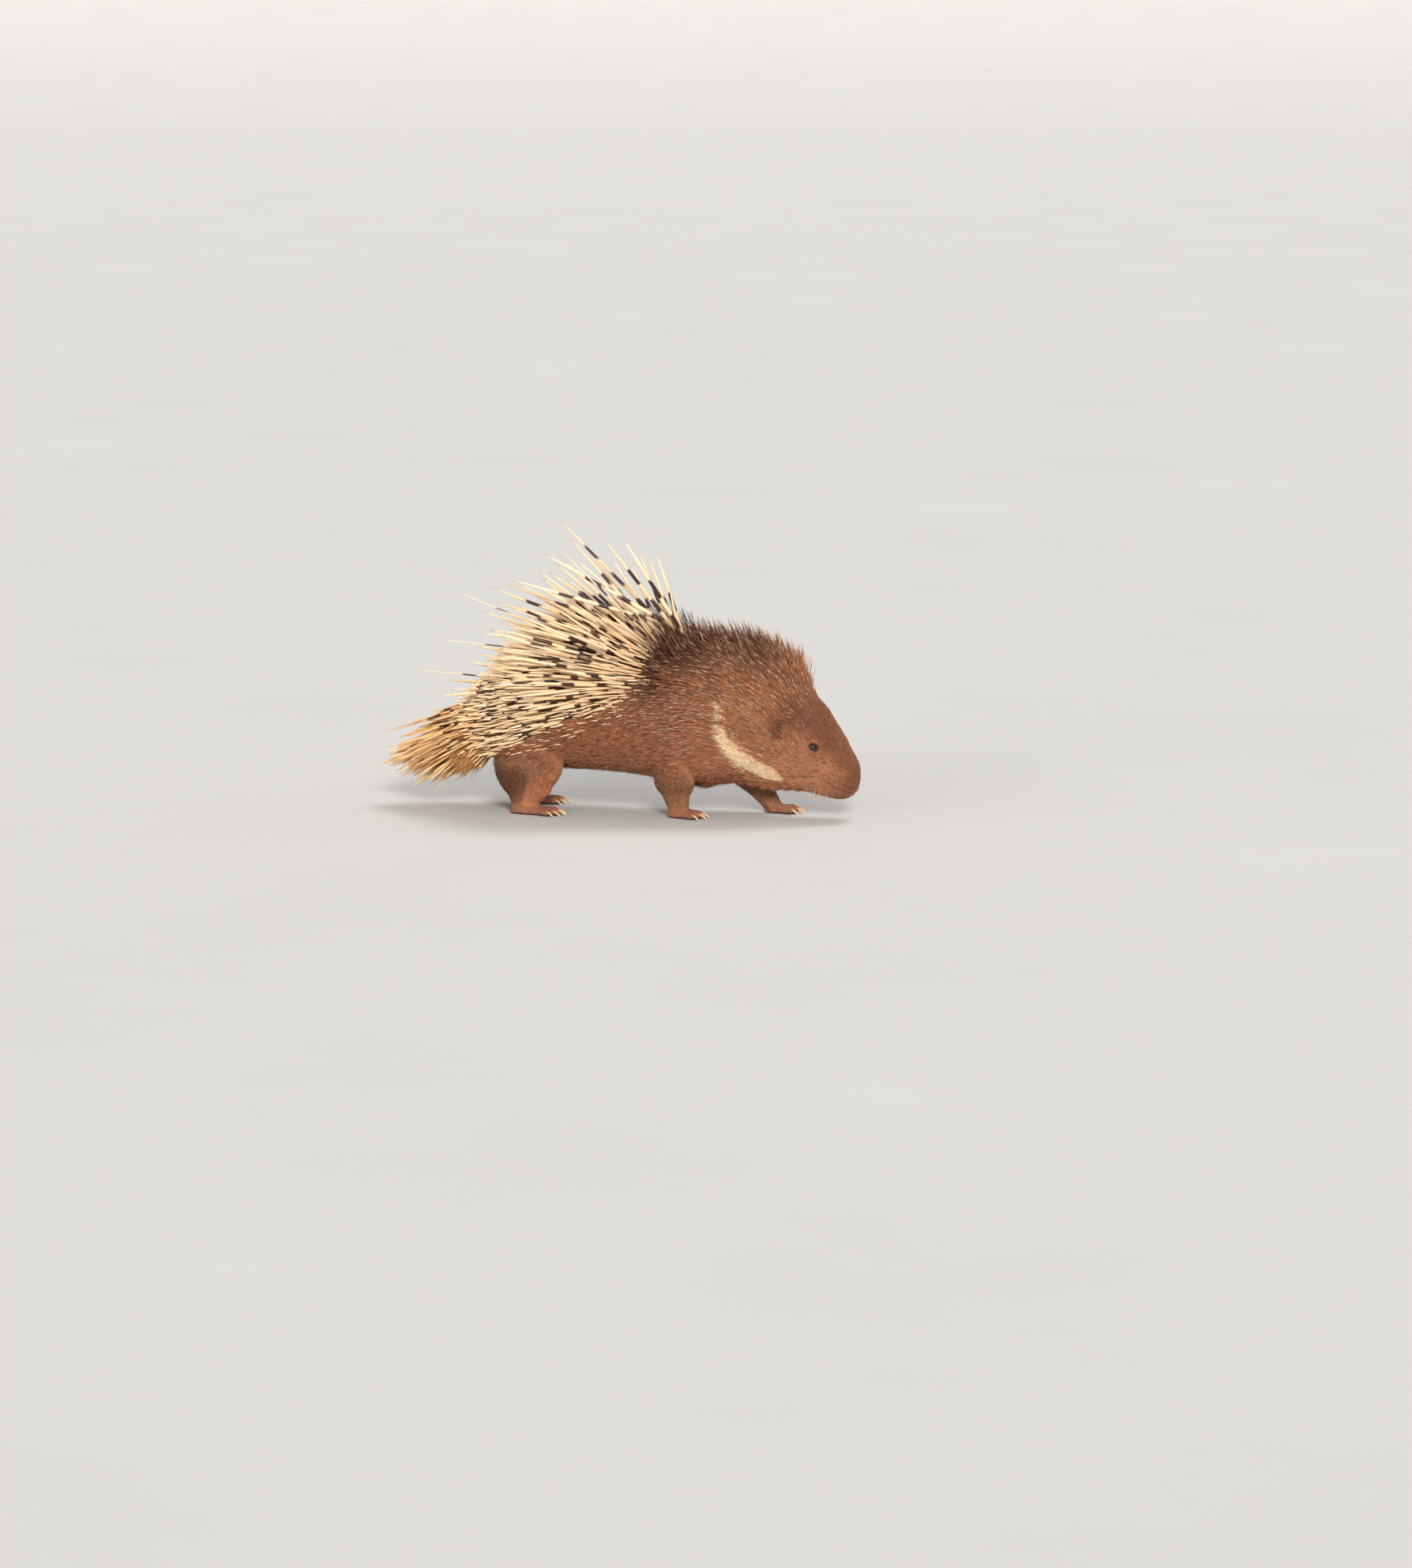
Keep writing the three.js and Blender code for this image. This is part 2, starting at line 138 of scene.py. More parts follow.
# the long quills that make the outline: tip x and z, the way they point, thickness, and where their band lies
HEROES = np.array(
    [
        [-87, 466, 137, 2.5, 0.50], [-72, 438, 134, 2.6, 0.55], [-85, 416, 133, 1.2, 0.40], [-113, 407, 149, 2.9, 0.55], [-106, 382, 147, 2.7, 0.52],
        [-121, 373, 150, 2.4, 0.56], [-12, 432, 126, 2.7, 0.50], [19, 434, 120, 2.8, 0.52], [42, 420, 114, 2.6, 0.52], [60, 406, 110, 2.4, 0.5],
        [72, 414, 108, 2.7, 0.52], [94, 360, 101, 2.2, 0.5], [-167, 363, 163, 2.4, 0.58], [-202, 352, 161, 2.9, 0.62], [-176, 358, 160, 2.4, 0.5],
        [-157, 325, 160, 2.5, 0.58], [-215, 314, 163, 2.6, 0.6], [-207, 285, 174, 2.7, 0.6], [-144, 310, 160, 2.3, 0.5], [-237, 232, 175, 2.7, 0.62],
        [-286, 265, 173, 1.0, 0.7], [-325, 217, 177, 1.0, 0.7], [-259, 345, 160, 0.8, 0.7], [-272, 203, 179, 2.2, 0.6], [-272, 187, 184, 2.0, 0.5],
        [-282, 174, 185, 2.0, 0.5], [-40, 420, 130, 2.4, 0.56], [-60, 400, 138, 2.5, 0.5], [0, 405, 124, 2.6, 0.46], [30, 398, 116, 2.4, 0.5],
        [-130, 345, 155, 2.5, 0.52], [-190, 300, 168, 2.6, 0.55], [-225, 258, 174, 2.5, 0.56], [-95, 398, 143, 2.6, 0.52],
    ],
    float,
)

# the same for the tail
TAIL_HEROES = np.array(
    [
        [-384, 61, 203, 1.8], [-391, 57, 203, 1.5], [-353, 40, 211, 1.8], [-328, 27, 217, 1.8], [-287, 25, 228, 1.6], [-376, 83, 198, 1.6],
        [-391, 60, 202, 1.8], [-381, 63, 204, 1.7], [-340, 52, 210, 1.7], [-316, 38, 217, 1.7], [-274, 40, 228, 1.5], [-404, 52, 201, 0.7],
        [-391, 106, 199, 0.8], [-372, 118, 196, 1.0], [-353, 128, 192, 1.2], [-366, 92, 198, 1.5],
        [-346, 101, 195, 1.6], [-327, 132, 189, 1.5], [-300, 150, 187, 1.5], [-361, 71, 200, 1.7], [-341, 53, 206, 1.7], [-311, 40, 214, 1.7],
        [-268, 44, 226, 1.5], [-338, 116, 192, 1.5], [-364, 94, 196, 1.6], [-378, 73, 199, 1.7], [-300, 32, 218, 1.5], [-318, 60, 208, 1.6],
    ],
    float,
)


# ------------------------------------------------------------------ small tools
def mm(p):
    """Millimetres in the animal's frame to metres in the model's."""
    q = np.array(p, float)
    q[..., 0] += SHIFT
    return q * 0.001


def table_at(rows, s):
    """A table's values at places along it, smoothly."""
    s = np.asarray(s, float)
    n = len(rows)
    i = np.clip(np.floor(s).astype(int), 0, n - 2)
    t = (s - i)[..., None]
    a, b, c, d = (rows[np.clip(i + k, 0, n - 1)] for k in (-1, 0, 1, 2))
    return b + 0.5 * t * (c - a + t * (2 * a - 5 * b + 4 * c - d + t * (3 * (b - c) + d - a)))


def smooth(x, a, b):
    t = np.clip((np.asarray(x, float) - a) / (b - a), 0, 1)
    return t * t * (3 - 2 * t)


def unit(v):
    return v / np.maximum(np.linalg.norm(v, axis=-1, keepdims=True), 1e-9)


def body_point(s, w, out=0.0):
    """A point on the skin of the body: s along it, w round it, out further out than the skin."""
    r = table_at(BODY, s)
    a = np.radians(r[..., 2])
    p = 2 / 2.15
    c, q = np.cos(w), np.sin(w)
    inset = r[..., 6] - out
    y = np.sign(c) * np.abs(c) ** p * np.maximum(r[..., 5] - inset, 1)
    h = np.sign(q) * np.abs(q) ** p * np.maximum(np.where(q > 0, r[..., 3], r[..., 4]) - inset, 1)
    return np.stack([r[..., 0] - np.sin(a) * h, y, r[..., 1] + np.cos(a) * h], -1)


def limb_point(rows, s, w, out=0.0):
    r = table_at(rows, s)
    x = r[..., 0] + np.cos(w) * (r[..., 3] - r[..., 5] + out)
    y = r[..., 1] + np.sin(w) * (r[..., 4] - r[..., 5] + out)
    return np.stack([x, y, np.broadcast_to(r[..., 2], x.shape)], -1)


def lathe_faces(rings, sides, closed_ends=True):
    faces = []
    for r in range(rings - 1):
        for k in range(sides):
            a, b = r * sides + k, r * sides + (k + 1) % sides
            faces.append((a, b, b + sides, a + sides))
    if closed_ends:
        faces.append(tuple(range(sides))[::-1])
        faces.append(tuple((rings - 1) * sides + k for k in range(sides)))
    return faces


def tube_rings(points, radii, sides, flat=1.0):
    points = np.asarray(points, float)
    t = unit(np.gradient(points, axis=0))
    side = unit(np.cross([0, 0, 1.0], t))
    up = np.cross(t, side)
    w = np.linspace(0, 2 * np.pi, sides, endpoint=False)
    r = np.asarray(radii, float)[:, None, None]
    return points[:, None] + side[:, None] * np.cos(w)[None, :, None] * r * flat + up[:, None] * np.sin(w)[None, :, None] * r


def new_object(name, verts, faces, material=None, smooth_it=True):
    me = bpy.data.meshes.new(name)
    me.from_pydata([tuple(v) for v in np.asarray(verts)], [], [tuple(int(i) for i in f) for f in faces])
    me.validate()
    me.update()
    if smooth_it:
        me.polygons.foreach_set("use_smooth", [True] * len(me.polygons))
    o = bpy.data.objects.new(name, me)
    bpy.context.scene.collection.objects.link(o)
    if material:
        me.materials.append(material)
    return o


def outward(o):
    bm = bmesh.new()
    bm.from_mesh(o.data)
    bmesh.ops.recalc_face_normals(bm, faces=bm.faces)
    bm.to_mesh(o.data)
    bm.free()
    return o


# ------------------------------------------------------------------ the markings, shared by the skin and the coat
def srgb(r, g, b):
    c = np.array([r, g, b], float) / 255
    return np.where(c <= 0.04045, c / 12.92, ((c + 0.055) / 1.055) ** 2.4)


C_FLANK = srgb(178, 111, 74)
C_BACK = srgb(74, 44, 35)
C_NECK = srgb(188, 118, 75)
C_COLLAR = srgb(250, 218, 174)
C_CHEEK = srgb(196, 131, 87)
C_FACE = srgb(153, 96, 65)
C_MUZZLE = srgb(141, 88, 57)
C_CHEST = srgb(186, 119, 83)
C_BELLY = srgb(176, 119, 86)
C_LEG = srgb(161, 110, 78)
# darker and paler copies of the leg colour: painted shade on the hind leg's rear, and a shin front that is partly its
# own paler fur and partly painted light
C_HOCK_SHADE = srgb(130, 84, 60)
C_SHANK_PALE_LIT = srgb(202, 134, 95)
C_FOOT = srgb(168, 108, 84)
C_RUMP = srgb(136, 90, 64)
# painted shade: near-black for the skin deep under the quills, where they shade it
C_SHADE_UNDER_QUILLS = srgb(58, 34, 26)
C_GOLD = srgb(220, 152, 80)
C_LIP = srgb(186, 112, 92)
MOUTH = np.array([[346, 68], [354, 62.5], [362, 57], [371, 52], [382, 47.5], [392, 45.5], [404, 45.5]], float)  # the line of the mouth, x and z


def line_distance(px, pz, line):
    """Distance from points to a broken line, and how far along it the nearest place is (0 to 1)."""
    best = np.full(np.shape(px), 1e9)
    along = np.zeros(np.shape(px))
    n = len(line) - 1
    for i in range(n):
        a, b = line[i], line[i + 1]
        d = b - a
        t = np.clip(((px - a[0]) * d[0] + (pz - a[1]) * d[1]) / (d @ d), 0, 1)
        q = np.hypot(px - a[0] - t * d[0], pz - a[1] - t * d[1])
        along = np.where(q < best, (i + t) / n, along)
        best = np.minimum(best, q)
    return best, along


def collar_weight(p, wide=1.0):
    d, t = line_distance(p[..., 0], p[..., 2], COLLAR)
    half = wide * np.interp(t, [0, 0.15, 0.35, 0.55, 0.75, 0.9, 1.0], [4.5, 5.5, 7, 8, 8.5, 7, 4])
    tufts = 0.5 + 0.5 * np.sin(p[..., 2] * 0.40 + p[..., 0] * 0.22)  # the upper end is broken into tufts
    half = half * (1 + 0.16 * np.sin(p[..., 0] * 0.83 + p[..., 2] * 0.47) + 0.13 * np.sin(p[..., 0] * 0.35 - p[..., 2] * 0.64))
    w = (1 - smooth(d, half * 0.62, half * 1.28)) * smooth(np.abs(p[..., 1]), 10, 26)
    w = w * (1 - 0.5 * smooth(t, 0.82, 1.0))
    return w * (1 - (1 - smooth(t, 0.24, 0.50)) * np.clip(1.40 - 1.5 * tufts, 0, 1))


def quill_depth(p):
    """How far a place lies inside the quill field, in mm (negative outside it)."""
    edge = np.interp(p[..., 0], QUILL_EDGE[:, 0], QUILL_EDGE[:, 1])
    return p[..., 2] - edge


def marking(p, nrm, s, sw, part):
    """The coat's colour at places on the skin. part: 0 body, 1 leg, 2 foot, 3 tail, 4 ear."""
    p = np.asarray(p)
    x, y, z = p[..., 0], p[..., 1], p[..., 2]
    e = sw
    wob = 0.12 * np.sin(x * 0.061 + z * 0.043) + 0.08 * np.sin(x * 0.13 - z * 0.09 + y * 0.05)
    col = np.broadcast_to(C_FLANK, p.shape).copy()

    def mix(c, w):
        nonlocal col
        w = np.clip(w, 0, 1)[..., None]
        col = col * (1 - w) + np.asarray(c) * w

    mix(C_BELLY, smooth(-e + wob, 0.45, 0.9) * smooth(-x, -120, -40))
    mix(C_CHEST, smooth(x, 60, 120) * smooth(-e + wob, 0.1, 0.7))
    mix(C_NECK, smooth(x, 110, 190) * smooth(e, -0.3, 0.3))
    mix(C_BACK, 0.85 * smooth(e + 0.5 * wob, 0.42, 1.02) * smooth(x, -60, 40) * (1 - smooth(s, 9.8, 12.0)))
    mix(C_BACK, 0.75 * smooth(e + wob, 0.15, 0.75) * smooth(x, 10, 60) * (1 - smooth(x, 95, 175)))
    mix(C_RUMP, smooth(-x, 120, 190) * smooth(-e, -0.2, 0.5))
    head = smooth(s, 11.0, 12.6) * (part == 0)
    mix(C_CHEEK, head * (1 - smooth(e + wob * 0.5, 0.25, 0.75)))
    mix(C_FACE, head * smooth(e + wob * 0.5, 0.2, 0.7))
    mix(C_MUZZLE, (part == 0) * smooth(s, 15.0, 16.8))
    mix(C_CHEST, head * smooth(-e, 0.55, 0.95))
    mix(srgb(208, 146, 92), 0.42 * (part == 0) * np.exp(-(((x - 240) / 25) ** 2) - ((z - 170) / 24) ** 2))
    mix(srgb(128, 76, 54), 0.38 * (part == 0) * np.exp(-(((x - 302) / 19) ** 2) - ((z - 166) / 15) ** 2))
    lips, _ = line_distance(x, z, MOUTH)
    mix(C_LIP, 0.5 * (part == 0) * np.exp(-((lips / 5.5) ** 2)) * smooth(x, 340, 350))
    # painted shade in the crease along the jaw
    mix(srgb(92, 54, 40), 0.62 * (part == 0) * np.exp(-(((z - 70.5 - 0.6 * np.sin(x * 0.35)) / 1.7) ** 2)) * smooth(x, 290, 298) * (1 - smooth(x, 334, 342)))
    r = np.sqrt((x - EYE[0]) ** 2 + (np.abs(y) - EYE[1]) ** 2 + (z - EYE[2]) ** 2)
    mix(srgb(190, 112, 90), 0.5 * (part == 0) * np.exp(-(((r - 9.5) / 3.6) ** 2)))
    leg = (part == 1) | (part == 2)
    mix(C_LEG, leg * (1 - smooth(z, 54, 84)))
    hind = leg * (x < 0)
    line = -119 - 0.35 * (60 - z) - 0.12 * (z - 60) * (z > 60)  # the crease between the heel's side and the shin
    # painted shade: the rear of the lower hind leg darkened
    mix(C_HOCK_SHADE, hind * (1 - smooth(z, 70, 96)) * (1 - smooth(x, line - 12, line)) * smooth(z, 14, 24))
    # the shin's front is paler: partly its own paler fur, partly painted light
    mix(C_SHANK_PALE_LIT, hind * (1 - smooth(z - 0.32 * (x + 108), 52, 76)) * smooth(x, line - 5, line + 9) * smooth(z, 12, 22))
    # painted shade along the crease
    mix(C_HOCK_SHADE, 0.7 * hind * np.exp(-(((x - line) / 5.0) ** 2)) * (1 - smooth(z, 66, 84)) * smooth(z, 16, 26))
    mix(C_FOOT, (part == 2) * 1.0)
    mix(C_GOLD, (part == 3) * 1.0)
    mix(srgb(134, 90, 58), 0.8 * (part == 0) * smooth(quill_depth(p), 4, 20))
    # painted shade on the skin deep in the quill field, weaker towards the rump
    mix(C_SHADE_UNDER_QUILLS, (part == 0) * smooth(quill_depth(p), 34, 78) * (1 - 0.55 * smooth(-x, 110, 160)))
    mix(C_COLLAR, collar_weight(p) * (part != 4))
    return col


# ------------------------------------------------------------------ materials
def material(name):
    m = bpy.data.materials.new(name)
    m.use_nodes = True
    nt = m.node_tree
    nt.nodes.clear()
    out = nt.nodes.new("ShaderNodeOutputMaterial")
    bsdf = nt.nodes.new("ShaderNodeBsdfPrincipled")
    nt.links.new(bsdf.outputs[0], out.inputs[0])
    return m, nt, bsdf


def node(nt, kind, **sets):
    n = nt.nodes.new(kind)
    for k, v in sets.items():
        if k.startswith("in_"):
            n.inputs[k[3:].replace("_", " ")].default_value = v
        else:
            setattr(n, k, v)
    return n


def attr(nt, name):
    return node(nt, "ShaderNodeAttribute", attribute_type="GEOMETRY", attribute_name=name)


def math_node(nt, op, a, b=None, clamp=False):
    n = node(nt, "ShaderNodeMath", operation=op, use_clamp=clamp)
    for i, v in enumerate((a, b)):
        if v is None:
            continue
        if isinstance(v, (int, float)):
            n.inputs[i].default_value = v
        else:
            nt.links.new(v, n.inputs[i])
    return n.outputs[0]


def mix_colour(nt, fac, a, b, mode="MIX"):
    n = node(nt, "ShaderNodeMix", data_type="RGBA", blend_type=mode, clamp_factor=True)
    for sock, v in ((0, fac), (6, a), (7, b)):
        if isinstance(v, (int, float)):
            n.inputs[sock].default_value = v
        elif isinstance(v, (tuple, list, np.ndarray)):
            n.inputs[sock].default_value = (*[float(q) for q in v][:3], 1)
        else:
            nt.links.new(v, n.inputs[sock])
    return n.outputs[2]


def ramp(nt, fac, stops, interp="LINEAR"):
    n = node(nt, "ShaderNodeValToRGB")
    n.color_ramp.interpolation = interp
    el = n.color_ramp.elements
    while len(el) < len(stops):
        el.new(0.5)
    for e, (pos, v) in zip(el, stops):
        e.position = pos
        e.color = (*([v] * 3 if isinstance(v, (int, float)) else v), 1)
    nt.links.new(fac, n.inputs[0])
    return n.outputs[0]


def object_coords(nt):
    return node(nt, "ShaderNodeTexCoord").outputs["Object"]


def noise(nt, scale, detail=4.0, rough=0.6, coords=None):
    n = node(nt, "ShaderNodeTexNoise", in_Scale=scale, in_Detail=detail, in_Roughness=rough)
    nt.links.new(coords if coords is not None else object_coords(nt), n.inputs["Vector"])
    return n.outputs["Fac"]


def bump(nt, bsdf, height, strength, distance):
    b = node(nt, "ShaderNodeBump", in_Strength=strength, in_Distance=distance)
    nt.links.new(height, b.inputs["Height"])
    nt.links.new(b.outputs[0], bsdf.inputs["Normal"])


def skin_material():
    m, nt, bsdf = material("skin")
    base = attr(nt, "hue").outputs["Color"]
    dark = attr(nt, "dark").outputs["Fac"]
    blotch = ramp(nt, noise(nt, 55, 5, 0.65), [(0.3, 0.62), (0.7, 1.08)])
    c = mix_colour(nt, 1.0, base, blotch, "MULTIPLY")
    fine = ramp(nt, noise(nt, 420, 3, 0.7), [(0.35, 0.72), (0.65, 1.1)])
    c = mix_colour(nt, 1.0, c, fine, "MULTIPLY")
    # painted shade: the 'dark' attribute blackens the eye sockets, nostrils, mouth, lip cleft, toe clefts and ear
    # hollows; on the lids' margins it is their own dark skin
    c = mix_colour(nt, dark, c, (0.020, 0.010, 0.007))
    nt.links.new(c, bsdf.inputs["Base Color"])
    wet = attr(nt, "wet").outputs["Fac"]
    r = node(nt, "ShaderNodeMapRange", in_From_Min=0.0, in_From_Max=1.0, in_To_Min=0.78, in_To_Max=0.38)
    nt.links.new(wet, r.inputs[0])
    nt.links.new(r.outputs[0], bsdf.inputs["Roughness"])
    v = node(nt, "ShaderNodeTexVoronoi", in_Scale=520.0)
    nt.links.new(object_coords(nt), v.inputs["Vector"])
    h = math_node(nt, "ADD", math_node(nt, "MULTIPLY", v.outputs["Distance"], 0.6), noise(nt, 900, 4, 0.7))
    bump(nt, bsdf, h, 0.5, 0.0012)
    bsdf.inputs["Specular IOR Level"].default_value = 0.3
    return m


def hair_material(name, rough, tip, tip_from, root_dark, spec=0.4):
    """Bristles and fur: the coat's colour, darker at the root, with a pale tip on those whose 'pale' says so."""
    m, nt, bsdf = material(name)
    base = attr(nt, "hue").outputs["Color"]
    along = attr(nt, "along").outputs["Fac"]
    tone = attr(nt, "tone").outputs["Fac"]
    pale = attr(nt, "pale").outputs["Fac"]
    shade = ramp(nt, tone, [(0.0, 0.58), (0.5, 0.98), (1.0, 1.38)])
    c = mix_colour(nt, 1.0, base, shade, "MULTIPLY")
    root = ramp(nt, along, [(0.0, root_dark), (0.45, 1.0), (1.0, 1.12)])
    c = mix_colour(nt, 1.0, c, root, "MULTIPLY")
    streak = ramp(nt, noise(nt, 700, 2, 0.6), [(0.35, 0.82), (0.65, 1.12)])
    c = mix_colour(nt, 1.0, c, streak, "MULTIPLY")
    w = ramp(nt, along, [(tip_from, 0.0), (min(tip_from + 0.14, 0.99), 1.0)])
    c = mix_colour(nt, math_node(nt, "MULTIPLY", w, pale, True), c, tip)
    nt.links.new(c, bsdf.inputs["Base Color"])
    rr = ramp(nt, noise(nt, 300, 2, 0.5), [(0.3, rough - 0.08), (0.7, rough + 0.1)])
    nt.links.new(rr, bsdf.inputs["Roughness"])
    bump(nt, bsdf, noise(nt, 2500, 2, 0.5), 0.15, 0.0003)
    bsdf.inputs["Specular IOR Level"].default_value = spec
    return m


def quill_material(name, cream, warm, dark, base_warm=0.0):
    """Hollow quills: cream horn with dark bands whose places each quill carries in its own attributes."""
    m, nt, bsdf = material(name)
    along = attr(nt, "along").outputs["Fac"]
    tone = attr(nt, "tone").outputs["Fac"]
    b1, w1 = attr(nt, "band").outputs["Fac"], attr(nt, "wide").outputs["Fac"]
    b2, w2 = attr(nt, "band2").outputs["Fac"], attr(nt, "wide2").outputs["Fac"]
    wav = math_node(nt, "MULTIPLY", math_node(nt, "SUBTRACT", noise(nt, 150, 1, 0.5), 0.5), 0.07)

    def in_band(centre, half):
        d = math_node(nt, "ABSOLUTE", math_node(nt, "SUBTRACT", math_node(nt, "ADD", along, wav), centre))
        q = math_node(nt, "SUBTRACT", half, d)
        return math_node(nt, "MULTIPLY", math_node(nt, "ADD", q, 0.012), 42.0, True)

    b3 = math_node(nt, "SUBTRACT", math_node(nt, "MULTIPLY", b2, 2.0), b1)
    band = math_node(nt, "MAXIMUM", math_node(nt, "MAXIMUM", in_band(b1, w1), in_band(b2, w2)), in_band(b3, w2))
    if base_warm:
        tone = math_node(nt, "ADD", tone, math_node(nt, "MULTIPLY", math_node(nt, "SUBTRACT", 0.62, along), base_warm), True)
    horn = mix_colour(nt, tone, cream, warm)
    fleck = ramp(nt, noise(nt, 480, 4, 0.7), [(0.25, 0.86), (0.7, 1.05)])
    horn = mix_colour(nt, 1.0, horn, fleck, "MULTIPLY")
    # painted shade: each quill darkens towards its root, where the quills above it shade it
    root_shade = ramp(nt, along, [(0.0, (0.20, 0.12, 0.08)), (0.10, (0.46, 0.34, 0.26)), (0.26, (0.93, 0.89, 0.85)), (0.9, 1.0), (1.0, 0.92)])
    horn = mix_colour(nt, 1.0, horn, root_shade, "MULTIPLY")
    brown = mix_colour(nt, tone, dark, tuple(2.1 * np.asarray(dark)))
    c = mix_colour(nt, band, horn, brown)
    nt.links.new(c, bsdf.inputs["Base Color"])
    rr = ramp(nt, noise(nt, 150, 3, 0.6), [(0.3, 0.30), (0.7, 0.48)])
    nt.links.new(rr, bsdf.inputs["Roughness"])
    bump(nt, bsdf, noise(nt, 1500, 3, 0.6), 0.2, 0.0003)
    bsdf.inputs["Specular IOR Level"].default_value = 0.5
    return m


def claw_material():
    m, nt, bsdf = material("claw_horn")
    along = attr(nt, "along").outputs["Fac"]
    n = noise(nt, 300, 4, 0.7)
    c = ramp(nt, math_node(nt, "ADD", along, math_node(nt, "MULTIPLY", math_node(nt, "SUBTRACT", n, 0.5), 0.4)),
             [(0.0, tuple(srgb(146, 104, 78))), (0.45, tuple(srgb(196, 156, 120))), (1.0, tuple(srgb(236, 208, 172)))])
    nt.links.new(c, bsdf.inputs["Base Color"])
    rr = ramp(nt, n, [(0.3, 0.32), (0.7, 0.55)])
    nt.links.new(rr, bsdf.inputs["Roughness"])
    bump(nt, bsdf, noise(nt, 1200, 3, 0.6), 0.25, 0.0004)
    return m


def eye_material():
    m, nt, bsdf = material("eye_wet")
    r = attr(nt, "along").outputs["Fac"]  # distance from the middle of the eye, in eye radii
    n = noise(nt, 900, 3, 0.6)
    c = ramp(nt, math_node(nt, "ADD", r, math_node(nt, "MULTIPLY", math_node(nt, "SUBTRACT", n, 0.5), 0.12)),
             [(0.0, (0.004, 0.003, 0.003)), (0.50, (0.006, 0.004, 0.003)), (0.58, (0.075, 0.026, 0.012)), (0.84, (0.045, 0.016, 0.009)), (1.0, (0.018, 0.008, 0.005))])
    nt.links.new(c, bsdf.inputs["Base Color"])
    rr = ramp(nt, n, [(0.3, 0.03), (0.7, 0.07)])
    nt.links.new(rr, bsdf.inputs["Roughness"])
    bsdf.inputs["Coat Weight"].default_value = 0.25
    bsdf.inputs["Coat Roughness"].default_value = 0.02
    bsdf.inputs["Specular IOR Level"].default_value = 0.45
    return m


M_SKIN = skin_material()
M_BRISTLE = hair_material("bristle", 0.5, srgb(240, 206, 172), 0.62, 0.5)
M_FUR = hair_material("short_fur", 0.62, srgb(222, 172, 134), 0.62, 0.66, 0.3)
M_CREAM = hair_material("collar_fur", 0.55, srgb(250, 228, 190), 0.5, 0.72, 0.35)
M_QUILL = quill_material("quill_horn", srgb(252, 228, 190), srgb(226, 182, 130), srgb(50, 21, 13))
M_TAIL = quill_material("tail_horn", srgb(244, 208, 150), srgb(188, 120, 56), srgb(60, 26, 13), 0.9)
M_CLAW = claw_material()
M_EYE = eye_material()


# ------------------------------------------------------------------ the skin
def lofts():
    """Closed surfaces of the body, legs, feet, toes and tail, lying inside the coat's outline."""
    out = []
    w = np.linspace(0, 2 * np.pi, 72, endpoint=False)
    s = np.linspace(0.05, 18, 150)
    out.append((body_point(s[:, None], w[None, :]), "body"))
    for name, rows in LIMBS.items():
        w = np.linspace(0, 2 * np.pi, 36, endpoint=False)
        s = np.linspace(0, len(rows) - 1, 40)
        out.append((limb_point(rows, s[:, None], w[None, :]), "leg_" + name))
    for name, f in FEET.items():
        turn = math.radians(f["turn"])
        rot = np.array([[math.cos(turn), -math.sin(turn), 0], [math.sin(turn), math.cos(turn), 0], [0, 0, 1]])
        pad = np.array([[1, 0.3, 0.55], [7, 0.66, 0.95], [20, 0.82, 1.12], [f["sole"] * 0.72, 0.98, 0.82], [f["sole"] + 3, 0.92, 0.52], [f["sole"] + 8, 0.6, 0.34]])
        q = table_at(pad, np.linspace(0, 5, 26))
        w = np.linspace(0, 2 * np.pi, 28, endpoint=False)
        c, sn = np.cos(w)[None, :], np.sin(w)[None, :]
        x = np.broadcast_to(q[:, :1], (26, 28))
        y = c * (f["half"] * q[:, 1:2] - 1.2)
        z = np.where(sn > 0, 5 + sn * (f["tall"] * q[:, 2:3] - 6.2), 5 + sn * 5.0)
        z = np.maximum(z, 0.25)
        p = np.stack([x, y, z], -1) @ rot.T + [f["x"], f["y"], 0]
        out.append((p, "foot_" + name))
        for path in toe_paths(f):
            out.append((tube_rings(path["points"], path["radii"], 18), "toe_" + name))
            out.append((tube_rings(path["pad"], path["pad_r"], 14), "toe_" + name))
    for k in (1, -1):
        v = np.linspace(0, np.pi, 16)[:, None]
        w = np.linspace(0, 2 * np.pi, 24, endpoint=False)[None]
        ball = np.stack([np.sin(v) * np.cos(w) * 8, np.cos(v) * np.ones_like(w) * 10, np.sin(v) * np.sin(w) * 10], -1)
        if k < 0:
            ball[..., 1] *= -1
        out.append((ball + [EAR["x"] + 2, k * (EAR["y"] - 14), EAR["z"] + 4], "ear"))
    q = table_at(STUB, np.linspace(0, 4, 20))
    w = np.linspace(0, 2 * np.pi, 28, endpoint=False)
    out.append((np.stack([np.broadcast_to(q[:, :1], (20, 28)) - 0.35 * q[:, 2:3] * np.sin(w), q[:, 2:3] * np.cos(w), q[:, 1:2] + q[:, 2:3] * np.sin(w)], -1), "tail"))
    return out


